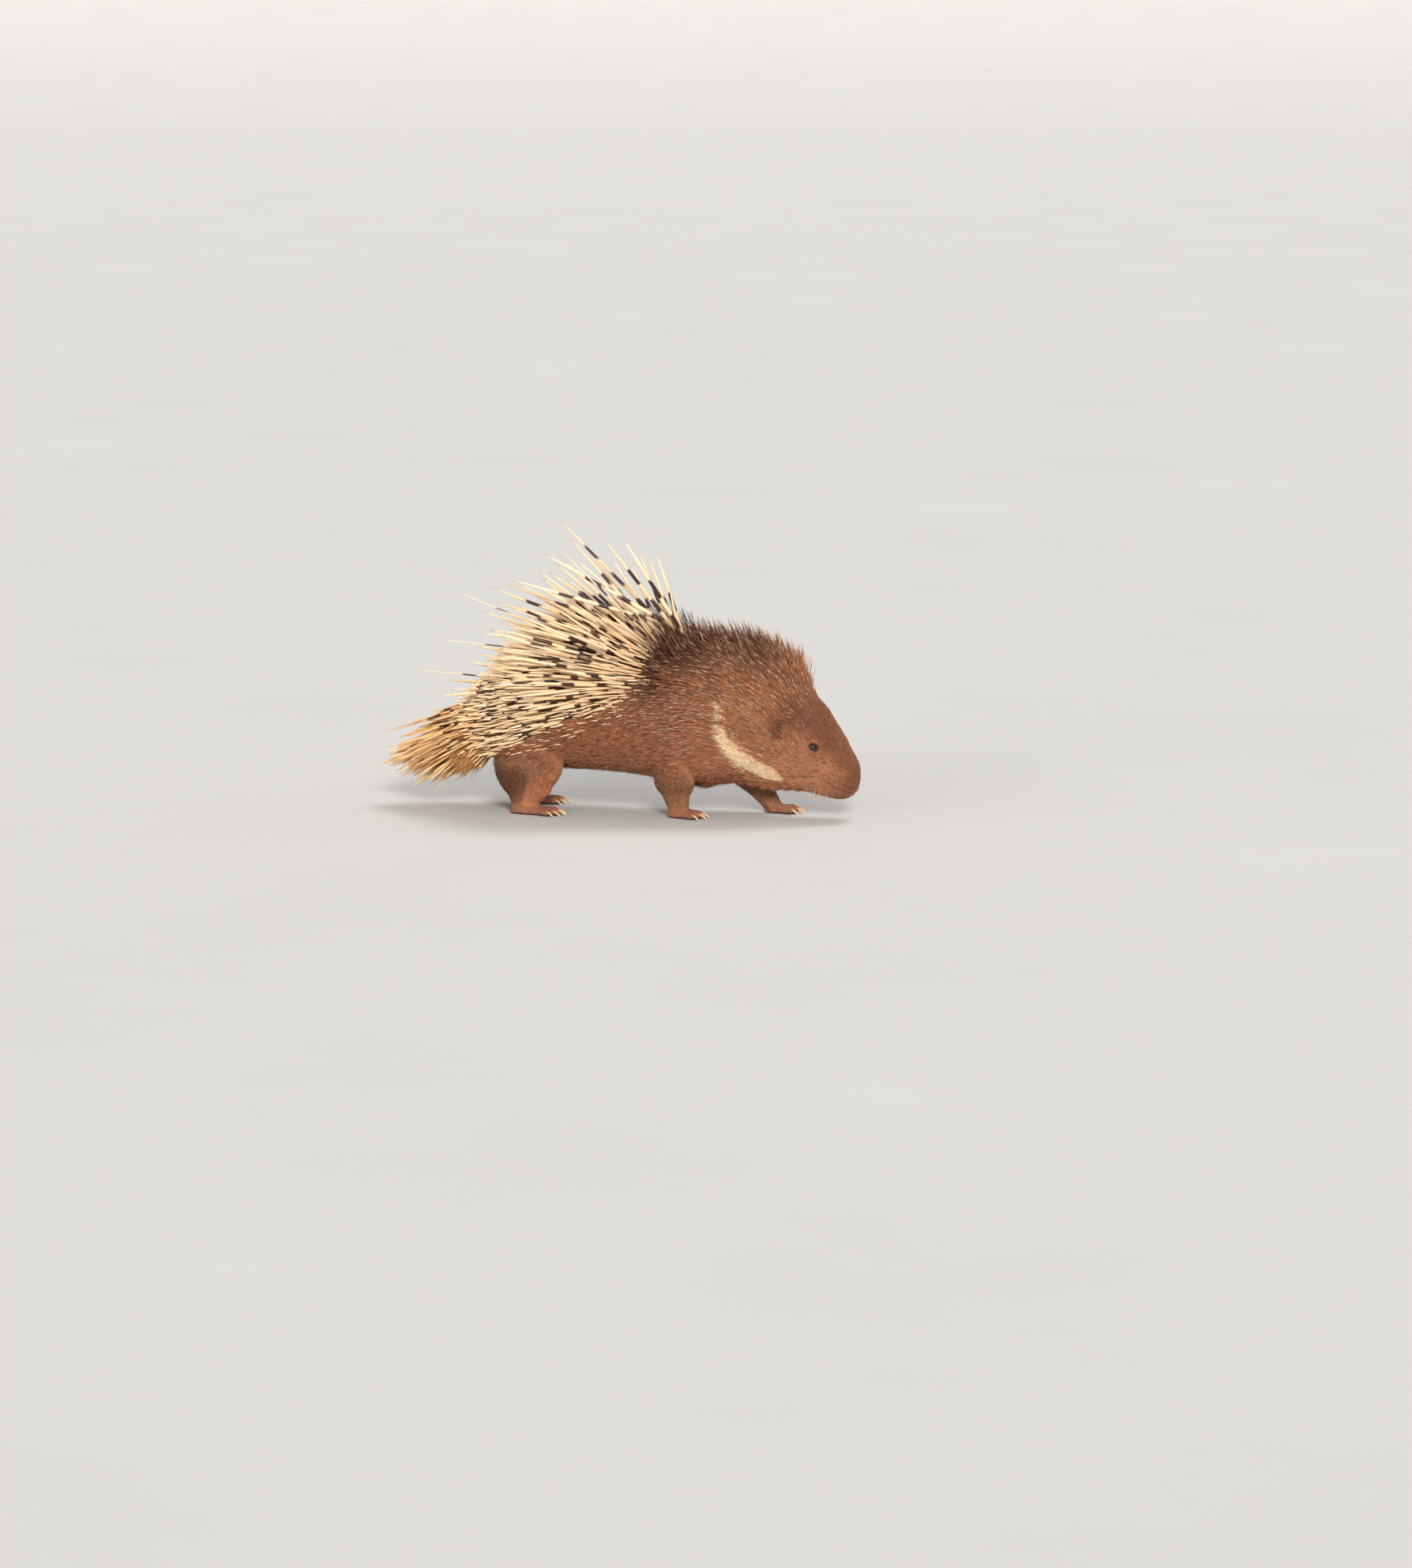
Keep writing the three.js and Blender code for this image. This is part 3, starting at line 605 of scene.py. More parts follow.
def toe_paths(f):
    paths = []
    n = len(f["toes"])
    turn = math.radians(f["turn"])
    for i, spread in enumerate(f["toes"]):
        share = i / (n - 1) - 0.5
        a = math.radians(spread)
        reach = f["toe"] * (1 - 1.1 * share * share)
        start = np.array([f["sole"] - 5 - 9 * abs(share), share * f["half"] * 1.55])
        way = np.array([math.cos(a), math.sin(a)])

        def place(d, z, start=start, way=way):
            q = start + way * d
            return np.array([q[0] * math.cos(turn) - q[1] * math.sin(turn) + f["x"], q[0] * math.sin(turn) + q[1] * math.cos(turn) + f["y"], z])

        r = f["girth"]
        d = np.linspace(-6, reach + 3.6, 14)
        t = (d + 6) / (reach + 9.6)
        knuckle = 0.10 * np.exp(-(((t - 0.42) / 0.12) ** 2)) + 0.12 * np.exp(-(((t - 0.80) / 0.12) ** 2))
        rad = (r - 0.9) * (0.92 + knuckle) * np.sqrt(np.clip(1 - np.maximum(0, (t - 0.82) / 0.2) ** 2, 0.05, 1))
        height = r + 1.6 * np.sin(np.pi * np.clip(t, 0, 1)) - 1.9 * smooth(t, 0.7, 1)
        d2 = np.linspace(reach * 0.45, reach * 0.98, 8)
        u = np.linspace(-1, 1, 8)
        paths.append(
            dict(
                points=[place(di, max(zi, ri + 0.15)) for di, zi, ri in zip(d, height, rad)],
                radii=rad,
                pad=[place(di, 3.4) for di in d2],
                pad_r=3.1 * np.sqrt(np.clip(1 - u * u, 0.04, 1)),
                place=place,
                reach=reach,
                r=r,
            )
        )
    return paths


def build_skin():
    verts, faces = [], []
    for grid, _ in lofts():
        rings, sides = grid.shape[:2]
        base = len(verts)
        verts.extend(grid.reshape(-1, 3))
        faces.extend(tuple(i + base for i in f) for f in lathe_faces(rings, sides))
    o = new_object("skin", mm(np.array(verts)), faces)
    outward(o)
    mod = o.modifiers.new("one", "REMESH")
    mod.mode = "VOXEL"
    mod.voxel_size = 0.0032
    mod.use_smooth_shade = True
    sm = o.modifiers.new("soften", "SMOOTH")
    sm.factor = 0.5
    sm.iterations = 5
    deps = bpy.context.evaluated_depsgraph_get()
    me = bpy.data.meshes.new_from_object(o.evaluated_get(deps))
    old = o.data
    o.modifiers.clear()
    o.data = me
    bpy.data.meshes.remove(old)
    # the largest connected shell only
    bm = bmesh.new()
    bm.from_mesh(me)
    seen, shells = set(), []
    for v in bm.verts:
        if v.index in seen:
            continue
        stack, shell = [v], []
        seen.add(v.index)
        while stack:
            q = stack.pop()
            shell.append(q)
            for e in q.link_edges:
                u = e.other_vert(q)
                if u.index not in seen:
                    seen.add(u.index)
                    stack.append(u)
        shells.append(shell)
    shells.sort(key=len, reverse=True)
    for shell in shells[1:]:
        bmesh.ops.delete(bm, geom=shell, context="VERTS")
    # finer round the face, finest round the eyes
    def refine(test):
        edges = [e for e in bm.edges if all(test(v.co) for v in e.verts)]
        bmesh.ops.subdivide_edges(bm, edges=edges, cuts=1, use_grid_fill=True, smooth=0.0)

    def in_face(c):
        return c.x > (322 + SHIFT) / 1000

    eyes = [Vector(mm(EYE * [1, k, 1])) for k in (1, -1)]

    def by_eye(c):
        return min((c - e).length for e in eyes) < 0.015

    refine(in_face)
    refine(by_eye)

    def in_foot(c):
        return c.z < 0.021

    refine(in_foot)
    bm.to_mesh(me)
    bm.free()
    me.update()
    return o


def shape_face(o):
    """Sinks the eye sockets, raises the lids, and cuts the nostrils, the mouth and the folds; paints shade into the
    sockets, nostrils, mouth and clefts, and darkens the lids' margins.
    """
    me = o.data
    n = len(me.vertices)
    co = np.empty(n * 3)
    me.vertices.foreach_get("co", co)
    p = co.reshape(-1, 3) * 1000
    p[:, 0] -= SHIFT
    nr = np.empty(n * 3)
    me.vertices.foreach_get("normal", nr)
    nr = nr.reshape(-1, 3)
    dark = np.zeros(n)
    wet = np.zeros(n)
    for k in (1, -1):
        e = EYE * [1, k, 1]
        ax = unit(np.array([0.30, 0.93 * k, 0.22]))  # the way the eye looks
        fore = unit(np.array([0.90, 0, -0.42]) - ax * (np.array([0.90, 0, -0.42]) @ ax))
        up = np.cross(ax, fore) * 1.0
        if up[2] < 0:
            up = -up
        d = p - e
        h, a, b = d @ ax, d @ fore, d @ up
        r = np.hypot(a, b)
        near = (r < 24) & (h > -16)
        # brow above the eye, a hollow before and below it
        brow = np.exp(-(((a + 1) / 9) ** 2) - ((b - 11.5) / 4.5) ** 2)
        below = np.exp(-(((a - 1) / 10) ** 2) - ((b + 12) / 5.5) ** 2)
        fore_dip = np.exp(-(((a - 15) / 8) ** 2) - ((b + 2) / 8) ** 2)
        lift = near * (1.3 * brow - 1.6 * below - 1.8 * fore_dip)
        p += ax[None] * lift[:, None]
        d = p - e
        h, a, b = d @ ax, d @ fore, d @ up
        r = np.hypot(a, b)
        phi = np.arctan2(b, a)
        opening = 1 / np.sqrt((np.cos(phi) / 7.0) ** 2 + (np.sin(phi) / np.where(b > 0, 5.9, 5.6)) ** 2)
        rim = r - opening
        ball = EYE_R + 0.55
        lid_h = np.sqrt(np.clip((ball + 0.9) ** 2 - r * r, 0, None))
        w_lid = near * (rim >= 0) * (1 - smooth(rim, 2.2, 8.5)) * (h > -12)
        target = np.where(r < ball + 0.85, lid_h, h)
        target = np.maximum(target, h * 0)  # never behind the middle of the eye
        p += ax[None] * (w_lid * (target - h))[:, None]
        inside = near * (rim < 0) * (h > -10)
        p += ax[None] * (inside * (-4.5 - h))[:, None]
        dark = np.maximum(dark, near * (1 - smooth(np.abs(rim), 0.3, 2.4)) * 0.85)
        # painted shade: the socket behind the eyeball is painted black
        dark = np.maximum(dark, inside * 1.0)
        wet = np.maximum(wet, near * (1 - smooth(np.abs(rim), 0.5, 2.0)))
        # fine folds round the lids
        fold = np.sin(rim * 2.1 + 0.6 * np.cos(3 * phi)) * np.exp(-(((rim - 4.0) / 2.6) ** 2))
        p += nr * (near * (rim > 1.2) * fold * 0.28)[:, None]
        # nostril: a comma-shaped slit low on the front of the nose
        c = np.array([402.0, 11.0 * k, 72.0])
        q = p - c
        along = q @ unit(np.array([0.1, 0.75 * k, 0.45]))
        across = q @ unit(np.array([0.35, -0.35 * k, 0.85]))
        rr = np.sqrt((along / 5.2) ** 2 + ((across - 0.06 * along**2) / 2.0) ** 2)
        g = np.exp(-(rr**2) * 1.4) * (np.linalg.norm(q, axis=1) < 14)
        p -= np.array([0.92, 0.25 * k, -0.1]) * (g * 4.2)[:, None]
        # painted shade inside the nostril
        dark = np.maximum(dark, g * 0.95)
        ring = np.exp(-(((rr - 1.5) / 0.5) ** 2)) * (np.linalg.norm(q, axis=1) < 14)
        p += nr * (ring * 0.7)[:, None]
        # the swollen pad of the upper lip
        c = np.array([386.0, 22.0 * k, 58.0])
        g = np.exp(-(((p - c) / [13, 9, 10]) ** 2).sum(1))
        p += nr * (g * 1.6)[:, None]
    # the clefts between the toes
    for f in FEET.values():
        paths = toe_paths(f)
        for t, u in zip(paths[:-1], paths[1:]):
            a = (np.array(t["place"](2.0, 0)) + np.array(u["place"](2.0, 0))) / 2
            b = (np.array(t["place"](t["reach"] + 5, 0)) + np.array(u["place"](u["reach"] + 5, 0))) / 2
            way = (b - a)[:2]
            k_ = ((p[:, :2] - a[:2]) @ way) / (way @ way)
            off = np.linalg.norm(p[:, :2] - a[:2] - k_[:, None] * way, axis=1)
            w = smooth(k_, -0.25, 0.15) * (k_ < 1.3) * np.exp(-((off / 1.7) ** 2)) * (p[:, 2] > 2.5) * (p[:, 2] < 20)
            p[:, 2] -= w * 3.4 * smooth(p[:, 2], 2.5, 8)
            # painted shade in the clefts between the toes
            dark = np.maximum(dark, 0.5 * w)
    # the mouth: a line from under the nose to its corner, and the cleft of the upper lip
    x, y, z = p.T
    line = np.interp(x, MOUTH[:, 0], MOUTH[:, 1])
    slope = 1 + 0.5 * (1 - smooth(x, 366, 384))
    w = smooth(x, 344, 350) * np.exp(-(((z - line) / (1.6 * slope)) ** 2)) * smooth(np.abs(y), 3, 9)
    p -= nr * (w * 3.0)[:, None]
    # painted shade in the line of the mouth
    dark = np.maximum(dark, w * 0.7)
    lips = smooth(x, 346, 356) * (np.exp(-(((z - line - 4.0 * slope) / 2.4) ** 2)) + 0.7 * np.exp(-(((z - line + 3.6 * slope) / 2.2) ** 2)))
    p += nr * (lips * 1.0)[:, None]
    crease = smooth(x, 290, 300) * (1 - smooth(x, 336, 346)) * np.exp(-(((z - 70.5 - 0.6 * np.sin(x * 0.35)) / 2.2) ** 2))
    p -= nr * (crease * 1.3)[:, None]
    cleft = smooth(x, 388, 396) * np.exp(-((y / 1.3) ** 2)) * smooth(z, 43, 50) * (1 - smooth(z, 64, 70))
    p -= nr * (cleft * 1.6)[:, None]
    # painted shade in the cleft of the upper lip
    dark = np.maximum(dark, cleft * 0.55)
    # bare nose skin
    nose = smooth(x, 393, 400) * smooth(z, 60, 68)
    wet = np.maximum(wet, nose * 0.6)
    # creases of the skin on the throat, elbows and ankles
    crease = np.sin(0.42 * (x + 0.6 * z) + 1.1 * np.sin(0.05 * y)) * smooth(-z, -95, -55) * smooth(x, 180, 230) * (1 - smooth(x, 300, 330))
    p += nr * (crease * 0.5)[:, None]
    knuckles = np.sin(1.35 * x) * (1 - smooth(z, 12, 26)) * smooth(z, 6, 9)
    p += nr * (knuckles * 0.22)[:, None]
    q = p.copy()
    q[:, 0] = np.where(q[:, 0] > 378, 378 + (q[:, 0] - 378) * 0.80, q[:, 0])  # blunt end of the muzzle
    q[:, 2] = np.maximum(q[:, 2], 0.05)
    me.vertices.foreach_set("co", mm(q).reshape(-1))
    me.update()
    return dark, wet


def fields(o):
    """For each skin vertex: place along and round the part it belongs to, and which part that is."""
    parts, pts, ss, ws, cs = [], [], [], [], []
    for grid, name in lofts():
        if name == "ear":
            continue
        rings, sides = grid.shape[:2]
        top = 18.0 if name == "body" else float(rings)
        s = np.linspace(0.05 if name == "body" else 0, top, rings)[:, None] * np.ones((1, sides))
        w = np.linspace(0, 2 * np.pi, sides, endpoint=False)[None] * np.ones((rings, 1))
        code = {"body": 0, "leg": 1, "foot": 2, "toe": 2, "tail": 3}[name.split("_")[0]]
        keep = np.ones(s.shape, bool)
        if code == 1:
            keep = grid[..., 2] < 92
        pts.append(grid[keep])
        ss.append(s[keep])
        ws.append(w[keep])
        parts.append(np.full(keep.sum(), code))
    pts, ss, ws, parts = (np.concatenate(v) for v in (pts, ss, ws, parts))
    tree = KDTree(len(pts))
    for i, q in enumerate(pts):
        tree.insert(q, i)
    tree.balance()
    n = len(o.data.vertices)
    co = np.empty(n * 3)
    o.data.vertices.foreach_get("co", co)
    p = co.reshape(-1, 3) * 1000
    p[:, 0] -= SHIFT
    idx = np.array([tree.find(q)[1] for q in p])
    return p, ss[idx], ws[idx], parts[idx]


def put_attribute(me, name, values):
    values = np.asarray(values, np.float32)
    if values.ndim == 2:
        a = me.attributes.new(name, "FLOAT_COLOR", "POINT")
        rgba = np.ones((len(values), 4), np.float32)
        rgba[:, :3] = values
        a.data.foreach_set("color", rgba.reshape(-1))
    else:
        a = me.attributes.new(name, "FLOAT", "POINT")
        a.data.foreach_set("value", values)


def ear_point(v, w, out=0.0):
    """A place on the left ear: v from the hollow (0) over the rim to the back (pi), w round it."""
    r = np.sin(v)
    x, z = r * np.cos(w), r * np.sin(w)
    front = np.cos(v) > 0
    bowl = 1.5 - (EAR["deep"] - EAR["wall"]) * np.clip(1 - r * r, 0, 1) ** 0.6
    ridge = 1.5 * np.exp(-(((np.hypot(x, z - 0.1) - 0.60) / 0.10) ** 2)) * smooth(z, -0.35, 0.0)
    ridge = ridge + 1.6 * np.exp(-(((x - 0.42) / 0.13) ** 2) - (((z + 0.25) / 0.3) ** 2)) + 1.2 * np.exp(-(((x + 0.30) / 0.10) ** 2) - (((z + 0.15) / 0.45) ** 2))
    y = np.where(front, bowl + ridge, -(EAR["deep"] + out) * np.sqrt(np.clip(1 - r * r, 0, 1)))
    y = y + np.exp(-(((r - 1) / 0.07) ** 2)) * 1.1
    p = np.stack([x * (EAR["wide"] + out) * (1 - 0.10 * z), y * np.ones_like(x), z * (EAR["tall"] + out)], -1)
    m = Matrix.Rotation(-0.35, 3, "Z") @ Matrix.Rotation(-0.5, 3, "Y") @ Matrix.Rotation(-0.3, 3, "X")
    return p @ np.array(m).T + [EAR["x"], EAR["y"] + 4.0, EAR["z"] + 8]


def ear_mesh(k):
    """A small round bowl of skin with a rolled rim and the folds inside it."""
    rings, sides = 40, 56
    v = np.linspace(0, np.pi, rings)[:, None]
    w = np.linspace(0, 2 * np.pi, sides, endpoint=False)[None]
    p = ear_point(v, w).reshape(-1, 3)
    p[:, 1] *= k
    # painted shade: the deep middle of the ear's bowl is darkened
    shade = np.where(np.cos(v) > 0, 0.60 * (1 - smooth(np.sin(v), 0.20, 0.85)), 0.0) * np.ones_like(w)
    return p, lathe_faces(rings, sides, True), shade.reshape(-1)


def finish_skin():
    o = build_skin()
    dark, wet = shape_face(o)
    p, s, w, part = fields(o)
    n = len(o.data.vertices)
    nr = np.empty(n * 3)
    o.data.vertices.foreach_get("normal", nr)
    nr = nr.reshape(-1, 3)
    hue = marking(p, nr, s, np.sin(w), part)
    sole = (p[:, 2] < 3.0) & (part == 2)
    hue[sole] = srgb(120, 78, 62)
    skin = dict(p=p, n=nr, s=s, w=w, part=part)
    me = o.data
    me.calc_loop_triangles()
    tris = np.empty(len(me.loop_triangles) * 3, int)
    me.loop_triangles.foreach_get("vertices", tris)
    skin["tris"] = tris.reshape(-1, 3)
    put_attribute(me, "hue", hue)
    put_attribute(me, "dark", dark)
    put_attribute(me, "wet", wet)
    me.materials.append(M_SKIN)
    # the ears and the rims of the lids, part of the same skin
    extra_v, extra_f, extra_dark, extra_wet, extra_hue = [], [], [], [], []

    def add(verts, faces, d, wt, colour):
        base = len(extra_v)
        extra_v.extend(verts)
        extra_f.extend(tuple(i + base for i in f) for f in faces)
        extra_dark.extend(np.broadcast_to(d, (len(verts),)))
        extra_wet.extend(np.broadcast_to(wt, (len(verts),)))
        extra_hue.extend(np.broadcast_to(colour, (len(verts), 3)))

    for k in (1, -1):
        v, f, hollow = ear_mesh(k)
        add(v, f, hollow, 0.1, srgb(140, 88, 66))
        e = EYE * [1, k, 1]
        ax = unit(np.array([0.30, 0.93 * k, 0.22]))
        fore = unit(np.array([0.90, 0, -0.42]) - ax * (np.array([0.90, 0, -0.42]) @ ax))
        up = np.cross(ax, fore)
        if up[2] < 0:
            up = -up
        phi = np.linspace(0, 2 * np.pi, 64, endpoint=False)
        ro = 1 / np.sqrt((np.cos(phi) / 7.0) ** 2 + (np.sin(phi) / np.where(np.sin(phi) > 0, 5.9, 5.6)) ** 2)
        ring = e + fore * (np.cos(phi) * ro)[:, None] + up * (np.sin(phi) * ro)[:, None] + ax * np.sqrt(np.clip((EYE_R + 0.75) ** 2 - ro**2, 0.5, None))[:, None]
        t = unit(np.roll(ring, -1, 0) - np.roll(ring, 1, 0))
        out = unit(ring - e)
        side = np.cross(t, out)
        q = np.linspace(0, 2 * np.pi, 10, endpoint=False)
        thick = 0.66 + 0.30 * np.clip(np.sin(phi), 0, 1)
        tube = ring[:, None] + (out[:, None] * np.cos(q)[None, :, None] + side[:, None] * np.sin(q)[None, :, None]) * thick[:, None, None]
        f = []
        for i in range(64):
            for j in range(10):
                a, b = i * 10 + j, i * 10 + (j + 1) % 10
                c, d = ((i + 1) % 64) * 10 + (j + 1) % 10, ((i + 1) % 64) * 10 + j
                f.append((a, b, c, d))
        add(tube.reshape(-1, 3), f, 0.55, 0.7, srgb(104, 66, 50))
    x = new_object("skin_extra", mm(np.array(extra_v)), extra_f)
    outward(x)
    put_attribute(x.data, "hue", np.array(extra_hue))
    put_attribute(x.data, "dark", np.array(extra_dark))
    put_attribute(x.data, "wet", np.array(extra_wet))
    x.data.materials.append(M_SKIN)
    bpy.ops.object.select_all(action="DESELECT")
    x.select_set(True)
    o.select_set(True)
    bpy.context.view_layer.objects.active = o
    bpy.ops.object.join()
    o.data.polygons.foreach_set("use_smooth", [True] * len(o.data.polygons))
    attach(o, "root")
    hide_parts("trunk", "neck", "head", "ear_left", "ear_right", "leg_front_left", "leg_front_right", "leg_hind_left", "leg_hind_right")
    return skin


# ------------------------------------------------------------------ the coat
class Sampler:
    """Places on the skin, picked at random by area and by how thick the coat is there."""

    def __init__(self, skin):
        self.k = skin
        p, t = skin["p"], skin["tris"]
        a, b, c = p[t[:, 0]], p[t[:, 1]], p[t[:, 2]]
        self.area = np.linalg.norm(np.cross(b - a, c - a), axis=1) / 2
        self.mid = (a + b + c) / 3
        self.t = t
        k = self.k
        self.ms = k["s"][t[:, 0]]
        self.mw = k["w"][t[:, 0]]
        self.mpart = k["part"][t[:, 0]]
        self.mn = unit(k["n"][t].sum(1))

    def take(self, n, density, rng):
        prob = self.area * density
        prob = prob / prob.sum()
        f = rng.choice(len(prob), n, p=prob)
        u, v = rng.random(n), rng.random(n)
        flip = u + v > 1
        u, v = np.where(flip, 1 - u, u), np.where(flip, 1 - v, v)
        t = self.t[f]
        k = self.k

        def blend(arr):
            return arr[t[:, 0]] * (1 - u - v)[:, None] + arr[t[:, 1]] * u[:, None] + arr[t[:, 2]] * v[:, None]

        p, nn = blend(k["p"]), unit(blend(k["n"]))
        return dict(p=p, n=nn, s=k["s"][t[:, 0]], w=k["w"][t[:, 0]], part=k["part"][t[:, 0]])


def thin(q, gap, rng):
    """Drops places closer than gap to one already kept."""
    cell = {}
    keep = []
    g = np.broadcast_to(gap, (len(q["p"]),))
    for i in range(len(q["p"])):
        p, r = q["p"][i], g[i]
        key = tuple((p // 12).astype(int))
        ok = True
        for dx in (-1, 0, 1):
            for dy in (-1, 0, 1):
                for dz in (-1, 0, 1):
                    for j in cell.get((key[0] + dx, key[1] + dy, key[2] + dz), ()):
                        if np.sum((q["p"][j] - p) ** 2) < r * r:
                            ok = False
                            break
                    if not ok:
                        break
                if not ok:
                    break
            if not ok:
                break
        if ok:
            cell.setdefault(key, []).append(i)
            keep.append(i)
    keep = np.array(keep)
    return {k: v[keep] for k, v in q.items()}


def strands(name, root, ref, d, length, radius, mat, slot, attrs, place, bend=None, sides=3, stops=(0, 0.35, 0.7), profile=(0.8, 1.0, 0.7), flat=0.6, sink=1.5, replaces=()):
    """Joined tapered tubes, one for each root: a coat piece."""
    n = len(root)
    d = unit(d)
    root = root - d * sink
    bend = np.zeros((n, 3)) if bend is None else bend
    t = np.array(stops, float)
    k = len(t)
    length = np.broadcast_to(length, (n,))[:, None, None]
    radius = np.broadcast_to(radius, (n,))[:, None, None, None]
    tt = t[None, :, None]
    centre = root[:, None] + (d[:, None] * tt + bend[:, None] * tt**2) * length
    tan = unit(d[:, None] + 2 * bend[:, None] * tt)
    side = unit(np.cross(tan, ref[:, None]))
    up = np.cross(side, tan)
    ang = np.linspace(0, 2 * np.pi, sides, endpoint=False) + np.pi / 2
    pr = np.array(profile, float)[None, :, None, None]
    ring = centre[:, :, None] + (side[:, :, None] * np.cos(ang)[None, None, :, None] + up[:, :, None] * np.sin(ang)[None, None, :, None] * flat) * radius * pr
    tip = root + (d + bend) * length[:, 0]
    per = k * sides + 1
    v = np.empty((n, per, 3))
    v[:, :-1] = ring.reshape(n, k * sides, 3)
    v[:, -1] = tip
    v[..., 2] = np.maximum(v[..., 2], 0.3)
    # faces of one strand
    tri, uv = [], []
    for r in range(k - 1):
        for j in range(sides):
            a, b = r * sides + j, r * sides + (j + 1) % sides
            c, e = a + sides, b + sides
            ua, ub, va, vb = j / sides, (j + 1) / sides, t[r], t[r + 1]
            tri += [(a, c, e), (a, e, b)]
            uv += [((ua, va), (ua, vb), (ub, vb)), ((ua, va), (ub, vb), (ub, va))]
    for j in range(sides):
        a, b = (k - 1) * sides + j, (k - 1) * sides + (j + 1) % sides
        tri.append((a, k * sides, b))
        uv.append(((j / sides, t[-1]), ((j + 0.5) / sides, 1.0), ((j + 1) / sides, t[-1])))
    tri, uv = np.array(tri), np.array(uv)
    m = len(tri)
    f = (tri[None] + (np.arange(n) * per)[:, None, None]).reshape(-1)
    me = bpy.data.meshes.new(name)
    me.vertices.add(n * per)
    me.vertices.foreach_set("co", mm(v.reshape(-1, 3)).reshape(-1).astype(np.float32))
    me.loops.add(n * m * 3)
    me.loops.foreach_set("vertex_index", f.astype(np.int32))
    me.polygons.add(n * m)
    me.polygons.foreach_set("loop_start", np.arange(0, n * m * 3, 3, dtype=np.int32))
    me.polygons.foreach_set("loop_total", np.full(n * m, 3, np.int32))
    me.update(calc_edges=True)
    me.polygons.foreach_set("use_smooth", np.ones(n * m, bool))
    along = np.concatenate([np.repeat(t, sides), [1.0]])
    put_attribute(me, "along", np.tile(along, n))
    for key, val in attrs.items():
        val = np.asarray(val)
        put_attribute(me, key, np.repeat(val, per, axis=0))
    # each tuft is a small patch at its root's place on the skin's unwrap
    lo, hi = place.min(0), place.max(0)
    q = (place - lo) / np.maximum(hi - lo, 1e-6) * 0.992 + 0.002
    layer = me.uv_layers.new(name="OFBake")
    full = q[:, None, None] + uv[None] * 0.003
    layer.data.foreach_set("uv", full.reshape(-1).astype(np.float32))
    me.materials.append(mat)
    o = bpy.data.objects.new(name, me)
    bpy.context.scene.collection.objects.link(o)
    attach(o, "root")
    if replaces:
        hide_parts(*replaces)
    print(name, n, "strands", n * m, "triangles")
    return o


def chart(q):
    """A root's place on the unwrap: along the body and round it; legs and feet lie beside it."""
    u = q["s"] / 18.0
    v = (q["w"] / (2 * np.pi) + 0.25) % 1.0
    leg = (q["part"] == 1) | (q["part"] == 2)
    u = np.where(leg, (q["p"][:, 0] + 260) / 600, u)
    v = np.where(leg, 1.1 + q["p"][:, 2] / 150 + 0.6 * (q["p"][:, 1] > 0) + 0.25 * ((q["n"][:, 1] * np.sign(q["p"][:, 1])) < 0), v)
    return np.stack([u, v], -1)


def back_of(q):
    """The way the coat lies: back along the body, up and back over the face, down the legs, forward over the feet."""
    s = q["s"]
    a = table_at(BODY, np.clip(s, 0, 17.98))
    b = table_at(BODY, np.clip(s + 0.02, 0, 18))
    spine = unit(np.stack([b[:, 0] - a[:, 0], np.zeros(len(s)), b[:, 1] - a[:, 1]], -1))
    side = np.abs(q["n"][:, 1])
    x, y, z = q["p"].T
    lay = -spine
    down = (0.22 * smooth(-x, -150, 0) + 0.08) * side * (1 - smooth(s, 9.0, 10.5))
    lay = lay - np.array([0, 0, 1.0]) * down[:, None]
    lay = lay + np.array([0, 0, 0.42]) * (smooth(s, 9.2, 11.5) * smooth(z, 90, 150))[:, None]
    part = q["part"]
    foot = (part == 2)[:, None]
    low = np.where(part == 1, smooth(-z, -118, -80), smooth(-z, -100, -70) * (np.abs(y) > 30) * ((x < -60) | ((x > 60) & (x < 235))))[:, None]
    lay = unit(lay) * (1 - low) + unit(np.stack([-0.30 - 1.1 * smooth(z, 44, 96), np.zeros(len(z)), -np.ones(len(z))], -1)) * low
    lay = np.where(foot, np.array([1.0, 0, -0.35]), lay)
    lay = lay - q["n"] * np.sum(lay * q["n"], 1)[:, None]
    return unit(lay)


def raised(lay, nrm, degrees, rng, spread):
    a = np.radians(degrees + rng.normal(0, 1, len(lay)) * spread * 0.5)
    side = np.cross(nrm, lay)
    yaw = np.radians(rng.normal(0, 1, len(lay)) * spread)
    flat = lay * np.cos(yaw)[:, None] + side * np.sin(yaw)[:, None]
    return unit(flat * np.cos(a)[:, None] + nrm * np.sin(a)[:, None])


def clumped(p, size, amount, seed):
    """The same small turn for all strands rooted in one clump."""
    cell = np.floor(p / size + 0.35 * np.sin(p[:, [1, 2, 0]] / (size * 0.8))).astype(int)
    key = (cell[:, 0] * 73856093) ^ (cell[:, 1] * 19349663) ^ (cell[:, 2] * 83492791) ^ (seed * 2654435)
    key = key % 4093
    return np.random.default_rng(seed).normal(0, amount, (4093, 3))[key]


def mixed(hue, rng, amount=1.0):
    """Each hair its own shade: some dark, some greyer, some paler than the rest."""
    n = len(hue)
    amount = np.broadcast_to(amount, (n,))[:, None]
    grey = hue.mean(1, keepdims=True) * np.array([1.12, 0.98, 0.90])
    k = (rng.random(n) < 0.45)[:, None] * rng.uniform(0.1, 0.55, (n, 1)) * amount
    out = hue * (1 - k) + grey * k
    u = rng.random((n, 1))
    out = out * np.where(u < 0.16, 1 - 0.48 * amount, np.where(u > 0.90, 1 + 0.35 * amount, 1.0))
    return out


